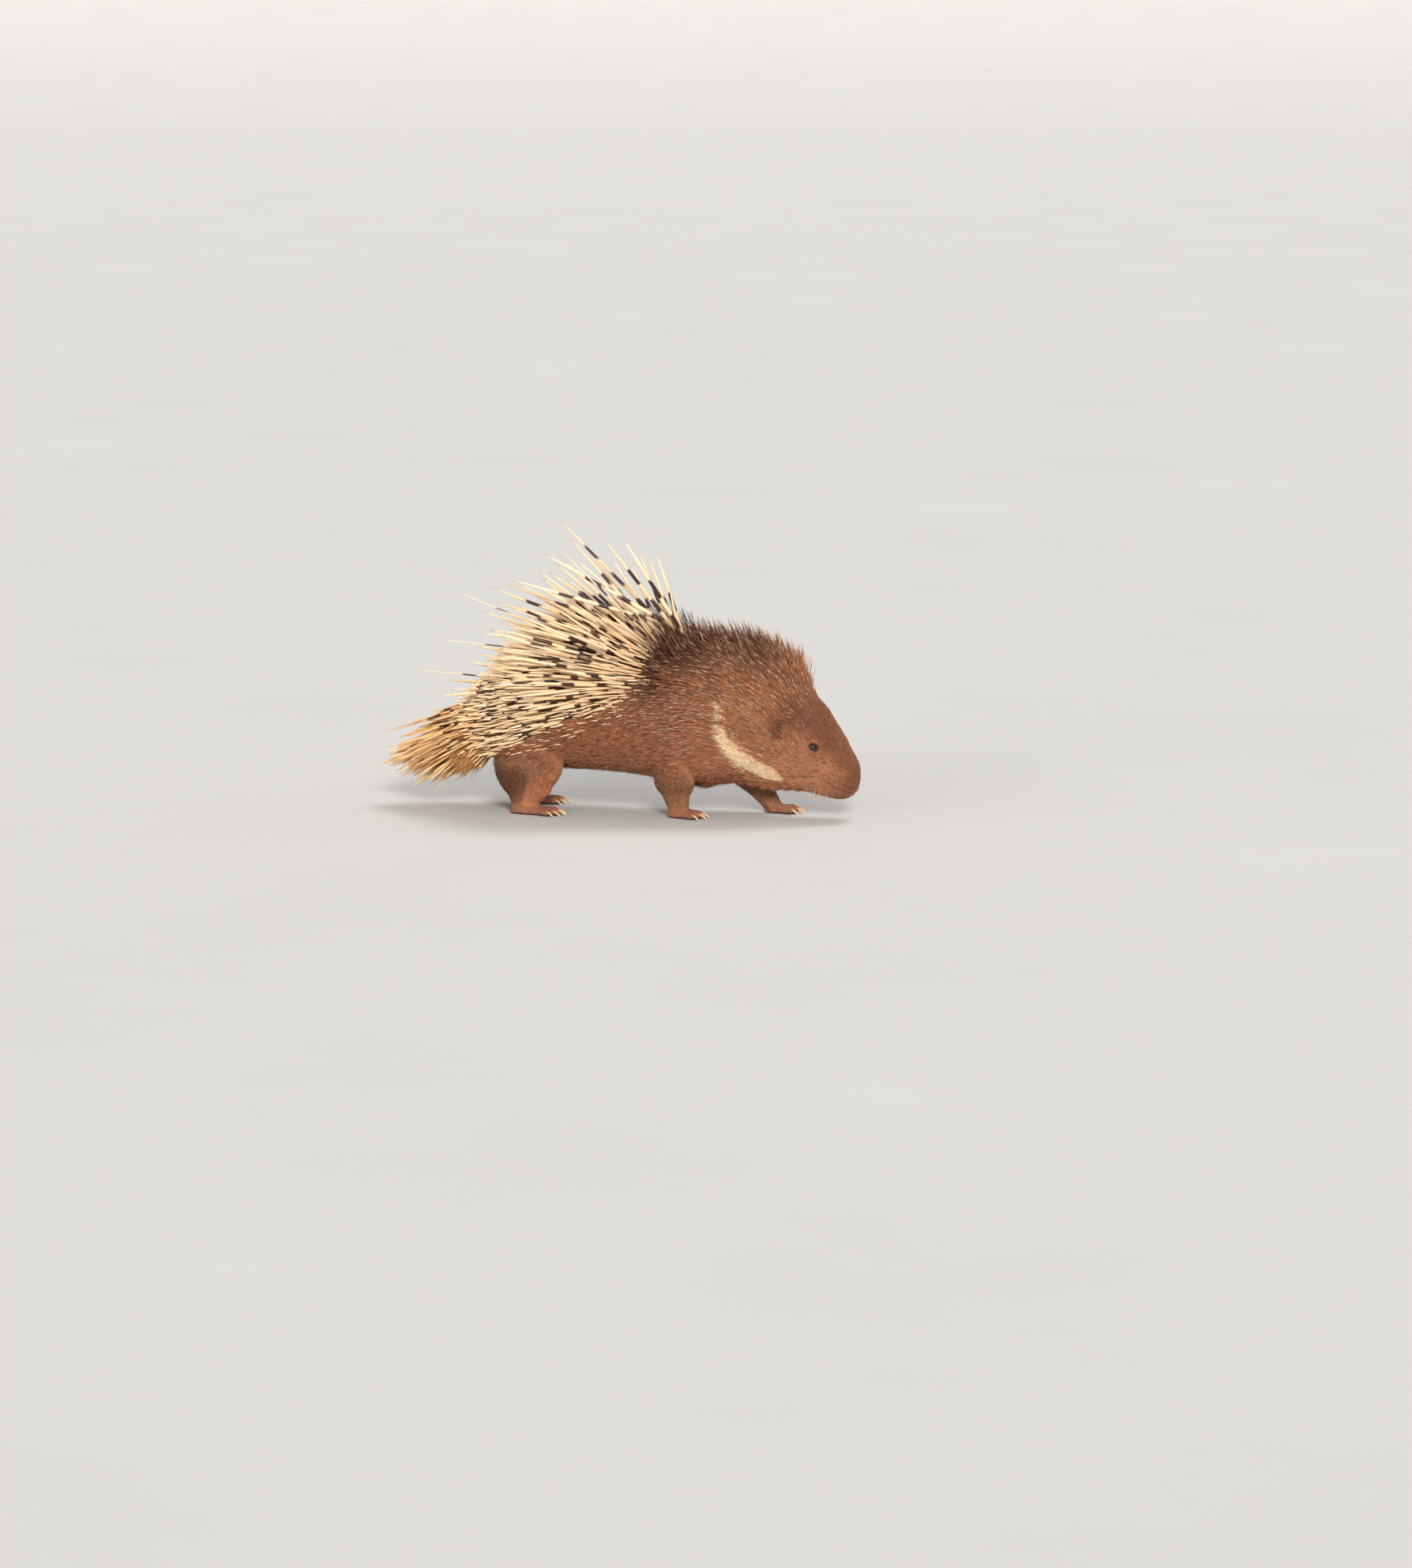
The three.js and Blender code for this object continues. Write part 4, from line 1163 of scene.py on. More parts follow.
def fur_length(p, s, sw, part):
    """How long the coat is at places on the skin."""
    x, z = p[:, 0], p[:, 2]
    top, fore = smooth(sw, 0.45, 0.9), smooth(x, 60, 130)
    body = (25 + 11 * fore * top) * (1 - 0.06 * smooth(-sw, 0.5, 1))
    head = np.interp(s, [11, 12, 13, 14, 15, 16, 17, 18], [29, 22, 16, 12, 9, 7, 5, 4])
    body = body * (1 - smooth(s, 10.8, 11.6)) + head * smooth(s, 10.8, 11.6)
    leg = np.interp(z, [15, 25, 45, 70, 95], [4.2, 5.6, 8.0, 12, 18])
    return np.where(part == 0, body, np.where(part == 1, leg, np.where(part == 2, 4.2, 22)))


def turn_share(v, spread):
    side = np.arctan2(v[..., 1], np.hypot(v[..., 0], v[..., 2]))
    turn = np.degrees(np.arctan2(v[..., 2], v[..., 0])) % 360
    return turn, np.clip(side / math.radians(spread), -1, 1), side


def room(root, d, centre, table, spread, extra=0.0):
    """How long a quill can be before its tip leaves the outline."""
    long = np.linspace(18, 300, 95)
    v = root[:, None] + d[:, None] * long[None, :, None] - centre
    turn, share, _ = turn_share(v, spread)
    reach = np.interp(turn, table[:, 0], table[:, 1]) * (1 - 0.24 * share**2 - 0.12 * share**6) + extra
    inside = np.linalg.norm(v, axis=2) < reach
    last = inside.shape[1] - 1 - np.argmax(inside[:, ::-1], axis=1)
    return np.where(inside.any(1), long[last], 18)


def fan_way(p, jitter, flare, loose=0.0):
    """The way of a quill of the fan. The ones of the ridge, which stand up, also part to both sides."""
    turn, share, side = turn_share(p - FAN_C, 47)
    theta = np.radians(turn + np.interp(turn, LEAN[:, 0], LEAN[:, 1]))
    lat = side * flare + loose * (1 - smooth(turn, 140, 172)) + 0.35 * np.abs(loose) * np.sign(side) * smooth(turn, 150, 172)
    return unit(np.stack([np.cos(theta) * np.cos(lat), np.sin(lat), np.sin(theta) * np.cos(lat)], -1) + jitter)


def split(name, count, order, q, **kw):
    """One call of strands for each of a few equal shares, so that no piece is too big."""
    for i, sel in enumerate(np.array_split(order, count)):
        args = {}
        for k, v in kw.items():
            if isinstance(v, np.ndarray) and v.ndim and len(v) == len(q["s"]):
                args[k] = v[sel]
            elif k == "attrs":
                args[k] = {a: np.asarray(b)[sel] for a, b in v.items()}
            elif k == "replaces":
                args[k] = v if i == 0 else ()
            else:
                args[k] = v
        strands(f"{name}_{i + 1}" if count > 1 else name, q["p"][sel], q["n"][sel], place=chart({a: b[sel] for a, b in q.items()}), **args)


def coat(skin):
    sam = Sampler(skin)
    mid = sam.mid
    zone = quill_depth(mid)
    body = sam.mpart == 0
    s, e = sam.ms, np.sin(sam.mw)
    quillish = body & (zone > 0)
    near_eye = np.minimum(*[np.linalg.norm(mid - EYE * [1, q, 1], axis=1) for q in (1, -1)])
    near_ear = np.minimum(*[np.linalg.norm(mid - [EAR["x"] + 0.5, q * (EAR["y"] - 2), EAR["z"] + 6], axis=1) for q in (1, -1)])
    quill_stops = dict(stops=(0, 0.07, 0.25, 0.5, 0.76, 0.91), profile=(0.55, 0.85, 1.0, 0.96, 0.74, 0.42), flat=1.0)

    # ---- the great quills of the back
    rng = np.random.default_rng(SEED + 1)
    q = thin(sam.take(5200, quillish * smooth(zone, 2, 26), rng), 10.2, rng)
    n = len(q["s"])
    depth = quill_depth(q["p"])
    jit = clumped(q["p"], 30, 0.060, 5) + rng.normal(0, 0.026, (n, 3))
    d = fan_way(q["p"], jit, 1.0, np.clip(rng.normal(0, 0.30, n), -0.62, 0.62))
    bulk = FAN_REACH * np.stack([np.ones(len(FAN_REACH)), np.interp(FAN_REACH[:, 0], [150, 160, 170, 178, 186, 196, 208], [0.99, 0.95, 0.90, 0.87, 0.89, 0.95, 0.97])], -1)
    full = room(q["p"], d, FAN_C, bulk, 47)
    back = smooth(-q["p"][:, 0], 10, 110)
    share = np.where(rng.random(n) < 0.22 - 0.12 * back, rng.uniform(0.86, 1.0, n), rng.uniform(0.55, 0.84, n)) + clumped(q["p"], 34, 0.05, 9)[:, 0]
    beside = smooth(np.abs(turn_share(q["p"] - FAN_C, 47)[2]), 0.40, 0.70)
    share = np.clip(share * (1 - 0.17 * back * (1 - beside)) + 0.13 * beside, 0.4, 1.0)
    long = np.clip(full * (0.36 + 0.64 * smooth(depth, 0, 52)) * share, 40, 290)
    bend = np.stack([rng.normal(0, 0.015, n), rng.normal(0, 0.015, n), rng.normal(-0.012, 0.015, n)], -1)
    thick = np.clip(1.8 + long / 250 * 1.35, 2.0, 3.15) * rng.uniform(0.84, 1.1, n)
    outer = rng.uniform(52, 104, n)
    band = np.clip(1 - outer / long, 0.40, 0.72) + rng.normal(0, 0.02, n)
    plain = rng.random(n) < 0.50 * (1 - smooth(depth, 26, 60)) + 0.55 * smooth(-q["p"][:, 0], 115, 150)
    wide = rng.uniform(8, 17, n) * (0.7 + 0.3 * smooth(depth, 20, 60)) / long
    gap = rng.uniform(44, 66, n) / long
    split(
        "quills_back", 2, np.argsort(q["s"]), q, d=d, length=long, radius=thick, mat=M_QUILL, slot="quills",
        attrs=dict(tone=np.clip(rng.beta(1.5, 3.0, n) + 0.16 * plain, 0, 1), band=np.where(plain, -1.0, band), wide=np.where(plain, -0.2, wide), band2=np.where((band - gap > 0.08) & ~plain, band - gap, -1.0), wide2=wide * 0.85),
        bend=bend, sides=7, sink=5, replaces=("quill_mantle",), **quill_stops)

    # ---- the quills that make the outline, each where its tip stands
    rng = np.random.default_rng(SEED + 12)
    h = np.column_stack([HEROES, rng.uniform(-100, 84, len(HEROES)) * np.minimum(1.0, (HEROES[:, 2] - 88) / 30)])
    for k_ in (1, -1):  # and shorter ones that part to both sides
        some = HEROES[(HEROES[:, 2] > 122) & (HEROES[:, 2] < 166) & (HEROES[:, 3] > 1.5)].copy()
        some[:, :2] = FAN_C[[0, 2]] + (some[:, :2] - FAN_C[[0, 2]]) * rng.uniform(0.76, 0.88, (len(some), 1))
        some[:, 3] *= 0.9
        h = np.concatenate([h, np.column_stack([some, k_ * rng.uniform(96, 146, len(some))])])
    for k_ in (1, -1):  # the ones that stand out farthest to the sides
        some = HEROES[(HEROES[:, 2] > 157) & (HEROES[:, 2] < 181) & (HEROES[:, 3] > 1.5)].copy()
        some[:, :2] = FAN_C[[0, 2]] + (some[:, :2] - FAN_C[[0, 2]]) * rng.uniform(0.60, 0.74, (len(some), 1))
        some[:, 3] *= 0.85
        h = np.concatenate([h, np.column_stack([some, k_ * rng.uniform(152, 186, len(some))])])
    roots = dict(p=[], n=[], s=[], w=[], part=[])
    tree = KDTree(len(mid))
    for i, v in enumerate(mid):
        tree.insert(v, i)
    tree.balance()
    ways, longs, kept = [], [], []
    for i, (tx, tz, turn, thick_, band_, y_tip) in enumerate(h):
        a = math.radians(turn)
        way = unit(np.array([math.cos(a), y_tip / 300, math.sin(a)]))
        tip = np.array([tx - 0.231 * y_tip, y_tip, min(tz - 0.146 * y_tip, 466)])  # beside the middle, but at the same place in the outline
        best = None
        for long_ in np.arange(30, 292, 4):
            foot_ = tip - way * long_
            co, idx, dist = tree.find(foot_)
            if best is None or dist < best[0] - 0.01:
                best = (dist, idx, long_)
            if (foot_ - mid[idx]) @ sam.mn[idx] < 0:
                best = (dist, idx, long_)
                break
        idx = best[1]
        if i >= len(HEROES) and quill_depth(tip - way * best[2]) < 10:
            continue  # it would stand on the shoulder, before the quills
        kept.append(i)
        ways.append(way)
        longs.append(best[2])
        roots["p"].append(tip - way * best[2])
        roots["n"].append(sam.mn[idx])
        roots["s"].append(s[idx])
        roots["w"].append(sam.mw[idx])
        roots["part"].append(sam.mpart[idx])
    q = {k: np.array(v) for k, v in roots.items()}
    longs = np.array(longs, float)
    h = h[kept]
    n = len(h)
    wide = rng.uniform(11, 16, n) / longs
    band = 1 - np.where(np.arange(n) < len(HEROES), rng.uniform(70, 100, n), rng.uniform(48, 122, n)) / longs
    strands(
        "quills_outline", q["p"], q["n"], np.array(ways), longs, h[:, 3] * 1.22, M_QUILL, "quills",
        dict(tone=rng.beta(1.3, 3.6, n), band=band, wide=wide, band2=band - 58 / longs, wide2=wide * 0.8), chart(q),
        np.stack([np.zeros(n), rng.normal(0, 0.01, n), np.zeros(n)], -1), sides=8, sink=3, **quill_stops)

    # ---- shorter quills between and below them
    rng = np.random.default_rng(SEED + 2)
    dens = quillish * smooth(zone, -2, 12) * (1.0 - 0.40 * smooth(zone, 50, 100)) * (1 + 1.2 * smooth(-mid[:, 0], 110, 150))
    q = thin(sam.take(6600, dens, rng), 5.9, rng)
    n = len(q["s"])
    depth = quill_depth(q["p"])
    lay = back_of(q)
    jit = clumped(q["p"], 24, 0.060, 6) + rng.normal(0, 0.035, (n, 3))
    fan = fan_way(q["p"], jit, 0.85, np.clip(rng.normal(0, 0.24, n), -0.5, 0.5))
    mix = (0.40 + 0.60 * smooth(depth, 0, 45))[:, None]
    d = unit(fan * mix + raised(lay, q["n"], 17, rng, 5) * (1 - mix))
    full = room(q["p"], d, FAN_C, bulk, 47)
    long = np.clip(full * (0.17 + 0.43 * smooth(depth, 0, 70)) * rng.uniform(0.7, 1.2, n), 26, 165)
    long = np.minimum(long, np.maximum(full, 30))
    bend = np.stack([rng.normal(0, 0.02, n), rng.normal(0, 0.02, n), rng.normal(-0.02, 0.02, n)], -1)
    thick = np.clip(1.35 + long / 150 * 0.95, 1.4, 2.3) * rng.uniform(0.8, 1.15, n)
    outer = rng.uniform(26, 58, n)
    band = np.clip(1 - outer / long, 0.12, 0.8)
    wide = rng.uniform(6, 13, n) / long
    rump = smooth(-q["p"][:, 0], 90, 150) * smooth(q["p"][:, 2], 150, 180)
    some = rng.random(n) < (0.22 + 0.50 * smooth(depth, 32, 78)) * (1 - 0.62 * smooth(-q["p"][:, 0], 105, 145))
    long = long * (1 - 0.25 * rump)
    split(
        "quills_flank", 2, np.argsort(q["s"]), q, d=d, length=long, radius=thick, mat=M_QUILL, slot="quills",
        attrs=dict(tone=np.clip(rng.beta(1.8, 2.8, n) + 0.45 * smooth(-q["p"][:, 0], 120, 190) * (1 - smooth(q["p"][:, 2], 128, 165)), 0, 1), band=np.where(some, band, -1.0), wide=np.where(some, wide, -0.2),
                   band2=np.where(some & (band - 46 / long > 0.1), band - 46 / long, -1.0), wide2=wide * 0.8),
        bend=bend, sides=6, stops=(0, 0.12, 0.42, 0.74, 0.92), profile=(0.6, 0.95, 1.0, 0.70, 0.34), flat=0.92, sink=3)

    # ---- thin pale quills strewn along the edge of the field
    rng = np.random.default_rng(SEED + 14)
    q = thin(sam.take(800, body * smooth(zone, -34, -2) * (1 - smooth(zone, 2, 14)) * (mid[:, 0] < 90) * (mid[:, 2] > 92), rng), 8.0, rng)
    n = len(q["s"])
    lay = back_of(q)
    long = rng.uniform(15, 27, n)
    way = unit(lay + np.array([-0.5, 0, 0.12]))
    way = unit(way - q["n"] * np.sum(way * q["n"], 1)[:, None])
    strands(
        "quills_edge", q["p"], q["n"], raised(way, q["n"], 24, rng, 8), long, rng.uniform(0.7, 1.25, n), M_QUILL, "quills",
        dict(tone=rng.beta(2.5, 2.0, n), band=np.where(rng.random(n) < 0.15, rng.uniform(0.1, 0.4, n), -1.0), wide=np.full(n, 0.14), band2=np.full(n, -1.0), wide2=np.full(n, -0.2)),
        chart(q), -q["n"] * 0.12, sides=5, stops=(0, 0.15, 0.5, 0.8), profile=(0.6, 0.95, 1.0, 0.6), flat=0.9, sink=2)

    # ---- the tail's quills
    rng = np.random.default_rng(SEED + 3)
    x, y, z = mid.T
    dens = (sam.mpart == 3) * 1.0 + (body & (x < -192) & (z < 172) & (z > 84)) * 0.7
    q = thin(sam.take(3400, dens, rng), 4.15, rng)
    n = len(q["s"])
    p = q["p"]
    mid_z = np.interp(-p[:, 0], [190, 212, 236, 256, 274, 290], [134, 128, 120, 111, 103, 97])
    high = np.clip((p[:, 2] - mid_z) / 26, -1.2, 1.2)
    theta = np.radians(204 - np.where(high > 0, 9, 15) * high + rng.normal(0, 3.6, n))
    lat = np.clip(p[:, 1] / 40, -1, 1) * 0.20 + rng.normal(0, 0.06, n)
    d = np.stack([np.cos(theta) * np.cos(lat), np.sin(lat), np.sin(theta) * np.cos(lat)], -1)
    d = unit(d + clumped(p, 17, 0.085, 8))
    full = room(p, d, TAIL_C, TAIL_REACH, 34)
    long = np.clip(full * np.where(rng.random(n) < 0.30, rng.uniform(0.80, 0.93, n), rng.uniform(0.46, 0.80, n)) * (1 - 0.12 * smooth(high, 0.3, 1.1)), 32, 150)
    bend = np.stack([rng.normal(0, 0.02, n), rng.normal(0, 0.02, n), rng.normal(-0.045, 0.02, n)], -1)
    thick = rng.uniform(1.35, 2.4, n)
    gold = np.clip(0.62 - 0.5 * high, 0, 1) * smooth(-p[:, 0], 196, 230)
    split(
        "quills_tail", 1, np.argsort(q["s"]), q, d=d, length=long, radius=thick, mat=M_TAIL, slot="quills",
        attrs=dict(tone=np.clip(rng.beta(1.8, 3.0, n) + 0.75 * gold * rng.random(n), 0, 1), band=rng.uniform(0.3, 0.75, n),
                   wide=np.where(rng.random(n) < 0.20 + 0.25 * smooth(high, 0.0, 1.0), rng.uniform(0.05, 0.11, n), -0.2), band2=np.full(n, -1.0), wide2=np.full(n, -0.2)),
        bend=bend, sides=6, stops=(0, 0.15, 0.5, 0.8, 0.94), profile=(0.6, 0.9, 1.0, 0.7, 0.34), flat=0.9, sink=3, replaces=("tail",))
    # the long ones at its end, each where its tip stands
    rng = np.random.default_rng(SEED + 17)
    h = TAIL_HEROES
    a = np.radians(h[:, 2])
    lat = rng.uniform(-0.17, 0.17, len(h))
    d = np.stack([np.cos(a) * np.cos(lat), np.sin(lat), np.sin(a) * np.cos(lat)], -1)
    longs = np.linalg.norm(np.stack([h[:, 0] + 232, h[:, 1] - 122], -1), axis=1) * rng.uniform(0.86, 1.0, len(h))
    tip = np.stack([h[:, 0], 130 * np.sin(lat), h[:, 1]], -1)
    one = np.ones(len(h))
    q = dict(p=tip - d * longs[:, None], n=np.cross(d, np.cross([0, 0, 1.0], d)), s=one * 0.5, w=np.linspace(0, 6, len(h)), part=one * 3)
    strands(
        "quills_tail_end", q["p"], q["n"], d, longs, h[:, 3], M_TAIL, "quills",
        dict(tone=rng.beta(1.8, 3.0, len(h)), band=one * -1, wide=one * -0.2, band2=one * -1, wide2=one * -0.2), chart(q), np.zeros((len(h), 3)),
        sides=6, stops=(0, 0.15, 0.5, 0.8, 0.94), profile=(0.6, 0.9, 1.0, 0.7, 0.34), flat=0.9, sink=0)
    rng = np.random.default_rng(SEED + 13)
    dens = (sam.mpart == 3) * (1.0 + 1.6 * (z < 116) * (x > -262)) + (body & (x < -203) & (z < 128) & (z > 84)) * 1.6
    q = sam.take(4600, dens, rng)
    n = len(q["s"])
    base = smooth(q["p"][:, 0], -262, -226) * (1 - smooth(q["p"][:, 2], 108, 132))
    theta = np.radians(204 + 24 * base + rng.normal(0, 9, n))
    way = np.stack([np.cos(theta), 0.4 * np.sign(q["p"][:, 1]) * rng.random(n), np.sin(theta)], -1)
    # painted shade: away from the tail's base the golden fur is darkened, filling the gaps between the tail's quills
    # with shade
    strands(
        "tail_fur", q["p"], q["n"], unit(way + q["n"] * 0.28), rng.uniform(22, 42, n) + 20 * base * rng.random(n), rng.uniform(0.5, 0.85, n), M_BRISTLE, "coat",
        dict(tone=np.clip(rng.normal(0.55, 0.15, n), 0, 1), pale=(rng.random(n) < 0.3 * base) * 0.7, hue=C_GOLD * (rng.uniform(0.22, 0.62, (n, 1)) * (1 - base[:, None]) + rng.uniform(0.8, 1.12, (n, 1)) * base[:, None])),
        chart(q), np.zeros((n, 3)), stops=(0, 0.4, 0.78), profile=(0.8, 1.0, 0.6), flat=0.55, sink=1.2)

    # ---- bristles of the body and upper legs
    rng = np.random.default_rng(SEED + 4)
    dens = body * (1 - smooth(s, 11.9, 13.6)) * np.where(zone > 14, 0.30, 1.0)
    dens = dens + (sam.mpart == 1) * smooth(mid[:, 2], 34, 80) * 1.0
    dens = dens * smooth(near_ear, 12, 18)
    q = sam.take(76000, dens, rng)
    n = len(q["s"])
    p, sw = q["p"], np.sin(q["w"])
    depth = quill_depth(p)
    lay = unit(back_of(q) + clumped(p, 15, 0.10, 21))
    lay = unit(lay - q["n"] * np.sum(lay * q["n"], 1)[:, None])
    top = smooth(sw, 0.45, 0.9) * (q["part"] == 0)
    fore = smooth(p[:, 0], 60, 130)
    front = smooth(q["s"], 10.2, 11.4)
    degrees = 13 + 20 * top * fore * (1 - front) + 9 * smooth(-sw, 0.55, 0.95) * smooth(p[:, 0], -90, -60) - 5 * (q["part"] == 1)
    d = raised(lay, q["n"], degrees, rng, 8)
    long = fur_length(p, q["s"], sw, q["part"]) * np.clip(rng.normal(1, 0.14, n), 0.6, 1.4) + 14 * smooth(depth, 10, 30)
    bend = -q["n"] * (0.10 + 0.12 * rng.random(n))[:, None]
    calm = smooth(sw + 0.2 * clumped(p, 40, 1.0, 33)[:, 0], -0.55, 0.35) * (q["part"] == 0)
    hue = mixed(marking(p, q["n"], q["s"], sw, q["part"]), rng, 0.35 + 0.6 * calm)
    pale = (rng.random(n) < (0.025 + 0.07 * top * fore + 0.05 * fore)) * rng.uniform(0.45, 1.0, n) * (depth < 16)
    tone = np.clip(0.49 + rng.normal(0, 0.115, n) * (0.55 + 0.45 * calm) + clumped(p, 11, 0.055, 31)[:, 0], 0, 1)
    radius = rng.uniform(0.38, 0.72, n)
    keep = np.where(collar_weight(p) < rng.uniform(0.15, 0.95, n))[0]
    split(
        "bristles", 5, keep[np.argsort(q["s"][keep])], q, d=d, length=long, radius=radius, mat=M_BRISTLE, slot="coat",
        attrs=dict(tone=tone, pale=pale, hue=hue), bend=bend, stops=(0, 0.52), profile=(0.85, 0.9), flat=0.6, sink=1.2)

    # ---- stiff flattened spines strewn among them, many with a pale tip
    rng = np.random.default_rng(SEED + 20)
    dens = body * smooth(e + 0.10 * np.sin(mid[:, 0] * 0.05), -0.55, 0.20) * (1 - smooth(s, 11.4, 12.6)) * np.where(zone > 18, 0, 1.0) * smooth(near_ear, 14, 20) * (0.5 + 0.5 * smooth(mid[:, 0], 20, 130))
    dens = dens * (collar_weight(mid, 1.1) < 0.3)
    q = thin(sam.take(4600, dens, rng), 4.6, rng)
    n = len(q["s"])
    p, sw = q["p"], np.sin(q["w"])
    lay = unit(back_of(q) + clumped(p, 15, 0.12, 23))
    lay = unit(lay - q["n"] * np.sum(lay * q["n"], 1)[:, None])
    fore = smooth(p[:, 0], 40, 140)
    top = smooth(sw, 0.40, 0.90)
    d = raised(lay, q["n"], 17 + 17 * top * fore, rng, 7)
    long = (17 + 9 * fore + 4 * top) * rng.uniform(0.75, 1.2, n) * (1 - 0.35 * smooth(q["s"], 10.6, 12.2))
    strands(
        "spines", p, q["n"], d, long, rng.uniform(0.62, 1.0, n), M_BRISTLE, "bristles",
        dict(tone=np.clip(rng.normal(0.42, 0.16, n), 0, 1), pale=(rng.random(n) < 0.30 + 0.25 * fore) * rng.uniform(0.35, 0.95, n), hue=mixed(marking(p, q["n"], q["s"], sw, q["part"]), rng)),
        chart(q), -q["n"] * 0.10, sides=4, stops=(0, 0.35, 0.75), profile=(0.75, 1.0, 0.62), flat=0.5, sink=1.2)

    # ---- the cream collar
    rng = np.random.default_rng(SEED + 5)
    q = sam.take(6200, body * (collar_weight(mid, 1.05) + 0.10 * collar_weight(mid, 1.7)), rng)
    n = len(q["s"])
    lay = back_of(q)
    lay = unit(lay + np.array([0, 0, 0.25]) * smooth(q["p"][:, 2], 120, 180)[:, None])
    d = raised(lay, q["n"], 17, rng, 9)
    inner = smooth(q["p"][:, 0] - np.interp(-q["p"][:, 2], -COLLAR[:, 1], COLLAR[:, 0]), -3, 11) * rng.random(n)
    hue = (C_COLLAR * (1 - 0.75 * inner[:, None]) + srgb(214, 154, 98) * 0.75 * inner[:, None]) * rng.uniform(0.74, 1.06, (n, 1))
    strands(
        "collar", q["p"], q["n"], d, rng.uniform(14, 28, n) * (1 - 0.30 * smooth(q["p"][:, 2], 128, 156)), rng.uniform(0.36, 0.66, n), M_CREAM, "coat",
        dict(tone=np.clip(rng.normal(0.58, 0.12, n), 0, 1), pale=rng.uniform(0.3, 1.0, n), hue=hue), chart(q), -q["n"] * 0.15,
        stops=(0, 0.52), profile=(0.85, 0.9), flat=0.6, sink=1.2)

    # ---- the longer bristles of the nape and shoulders
    rng = np.random.default_rng(SEED + 6)
    dens = body * smooth(e, 0.30, 0.85) * smooth(mid[:, 0], 84, 108) * (1 - smooth(s, 10.6, 12.0)) * smooth(near_ear, 14, 30)
    q = sam.take(3600, dens, rng)
    n = len(q["s"])
    p = q["p"]
    lay = back_of(q)
    by_fan = 1 - smooth(p[:, 0], 100, 165)
    front = smooth(q["s"], 9.8, 11.3)
    crest = smooth(np.sin(q["w"]), 0.70, 0.94)
    tall = crest * (rng.random(n) < 0.34)
    degrees = 24 + 24 * by_fan + (30 + 12 * tall) * crest * (1 - 0.4 * front) - 10 * front
    d = raised(lay, q["n"], np.minimum(degrees, 80), rng, 10)
    long = (rng.uniform(26, 42, n) + 14 * by_fan * rng.random(n) + 13 * tall) * (1 - 0.38 * front * (1 - 0.5 * tall))
    strands(
        "nape_bristles", p, q["n"], d, long, rng.uniform(0.5, 0.9, n), M_BRISTLE, "bristles",
        dict(tone=np.clip(rng.normal(0.42, 0.14, n), 0, 1), pale=(rng.random(n) < 0.20 + 0.14 * smooth(p[:, 0], 150, 230)) * rng.uniform(0.5, 1.0, n), hue=marking(p, q["n"], q["s"], np.sin(q["w"]), q["part"])),
        chart(q), -lay * 0.0 - q["n"] * 0.10, stops=(0, 0.35, 0.65, 0.88), profile=(0.8, 1.0, 0.8, 0.42), flat=0.7, sink=1.5, replaces=("nape_crest",))
    # the tallest, in front of the quills
    rng = np.random.default_rng(SEED + 16)
    q = thin(sam.take(900, body * smooth(mid[:, 0], 84, 100) * (1 - smooth(mid[:, 0], 136, 176)) * smooth(e, 0.70, 0.90), rng), 5.0, rng)
    n = len(q["s"])
    theta = np.radians(118 - 0.25 * (q["p"][:, 0] - 90) + rng.normal(0, 6, n))
    way = np.stack([np.cos(theta), q["p"][:, 1] / 120, np.sin(theta)], -1)
    strands(
        "shoulder_bristles", q["p"], q["n"], unit(way), rng.uniform(46, 90, n) * (1 - 0.42 * smooth(q["p"][:, 0], 106, 160)), rng.uniform(0.6, 1.05, n), M_BRISTLE, "bristles",
        dict(tone=np.clip(rng.normal(0.38, 0.14, n), 0, 1), pale=(rng.random(n) < 0.22) * rng.uniform(0.4, 1.0, n), hue=marking(q["p"], q["n"], q["s"], np.sin(q["w"]), q["part"])),
        chart(q), np.stack([np.full(n, -0.08), np.zeros(n), np.zeros(n)], -1), sides=4, stops=(0, 0.35, 0.65, 0.88), profile=(0.8, 1.0, 0.8, 0.42), flat=0.9, sink=1.5)

    # ---- short fur of the face
    rng = np.random.default_rng(SEED + 7)
    dens = body * smooth(s, 11.8, 13.2) * smooth(near_eye, 8.0, 9.8) * (1 + 0.8 * (1 - smooth(near_eye, 10, 17)) + 1.4 * smooth(s, 14.5, 16.5))
    dens = dens * (1 - 0.97 * smooth(mid[:, 0], 396, 401) * smooth(mid[:, 2], 60, 66)) * smooth(near_ear, 11, 15)
    q = sam.take(22000, dens, rng)
    n = len(q["s"])
    p, sw = q["p"], np.sin(q["w"])
    lay = back_of(q)
    for k_ in (1, -1):  # the hair parts round the eye
        v = p - EYE * [1, k_, 1]
        r = np.linalg.norm(v, axis=1)
        lay = unit(lay + unit(v - q["n"] * np.sum(v * q["n"], 1)[:, None]) * (1.1 * (1 - smooth(r, 8, 20)))[:, None])
    muz = smooth(q["s"], 14.6, 16.4)
    degrees = 13 + 10 * muz * smooth(-sw, -0.1, 0.7)
    d = raised(lay, q["n"], degrees, rng, 10)
    near = np.minimum(*[np.linalg.norm(p - EYE * [1, k_, 1], axis=1) for k_ in (1, -1)])
    fine = 0.55 + 0.45 * smooth(near, 9, 16)
    long = fur_length(p, q["s"], sw, q["part"]) * rng.uniform(0.75, 1.2, n) * fine
    hue = mixed(marking(p, q["n"], q["s"], sw, q["part"]), rng, 0.7)
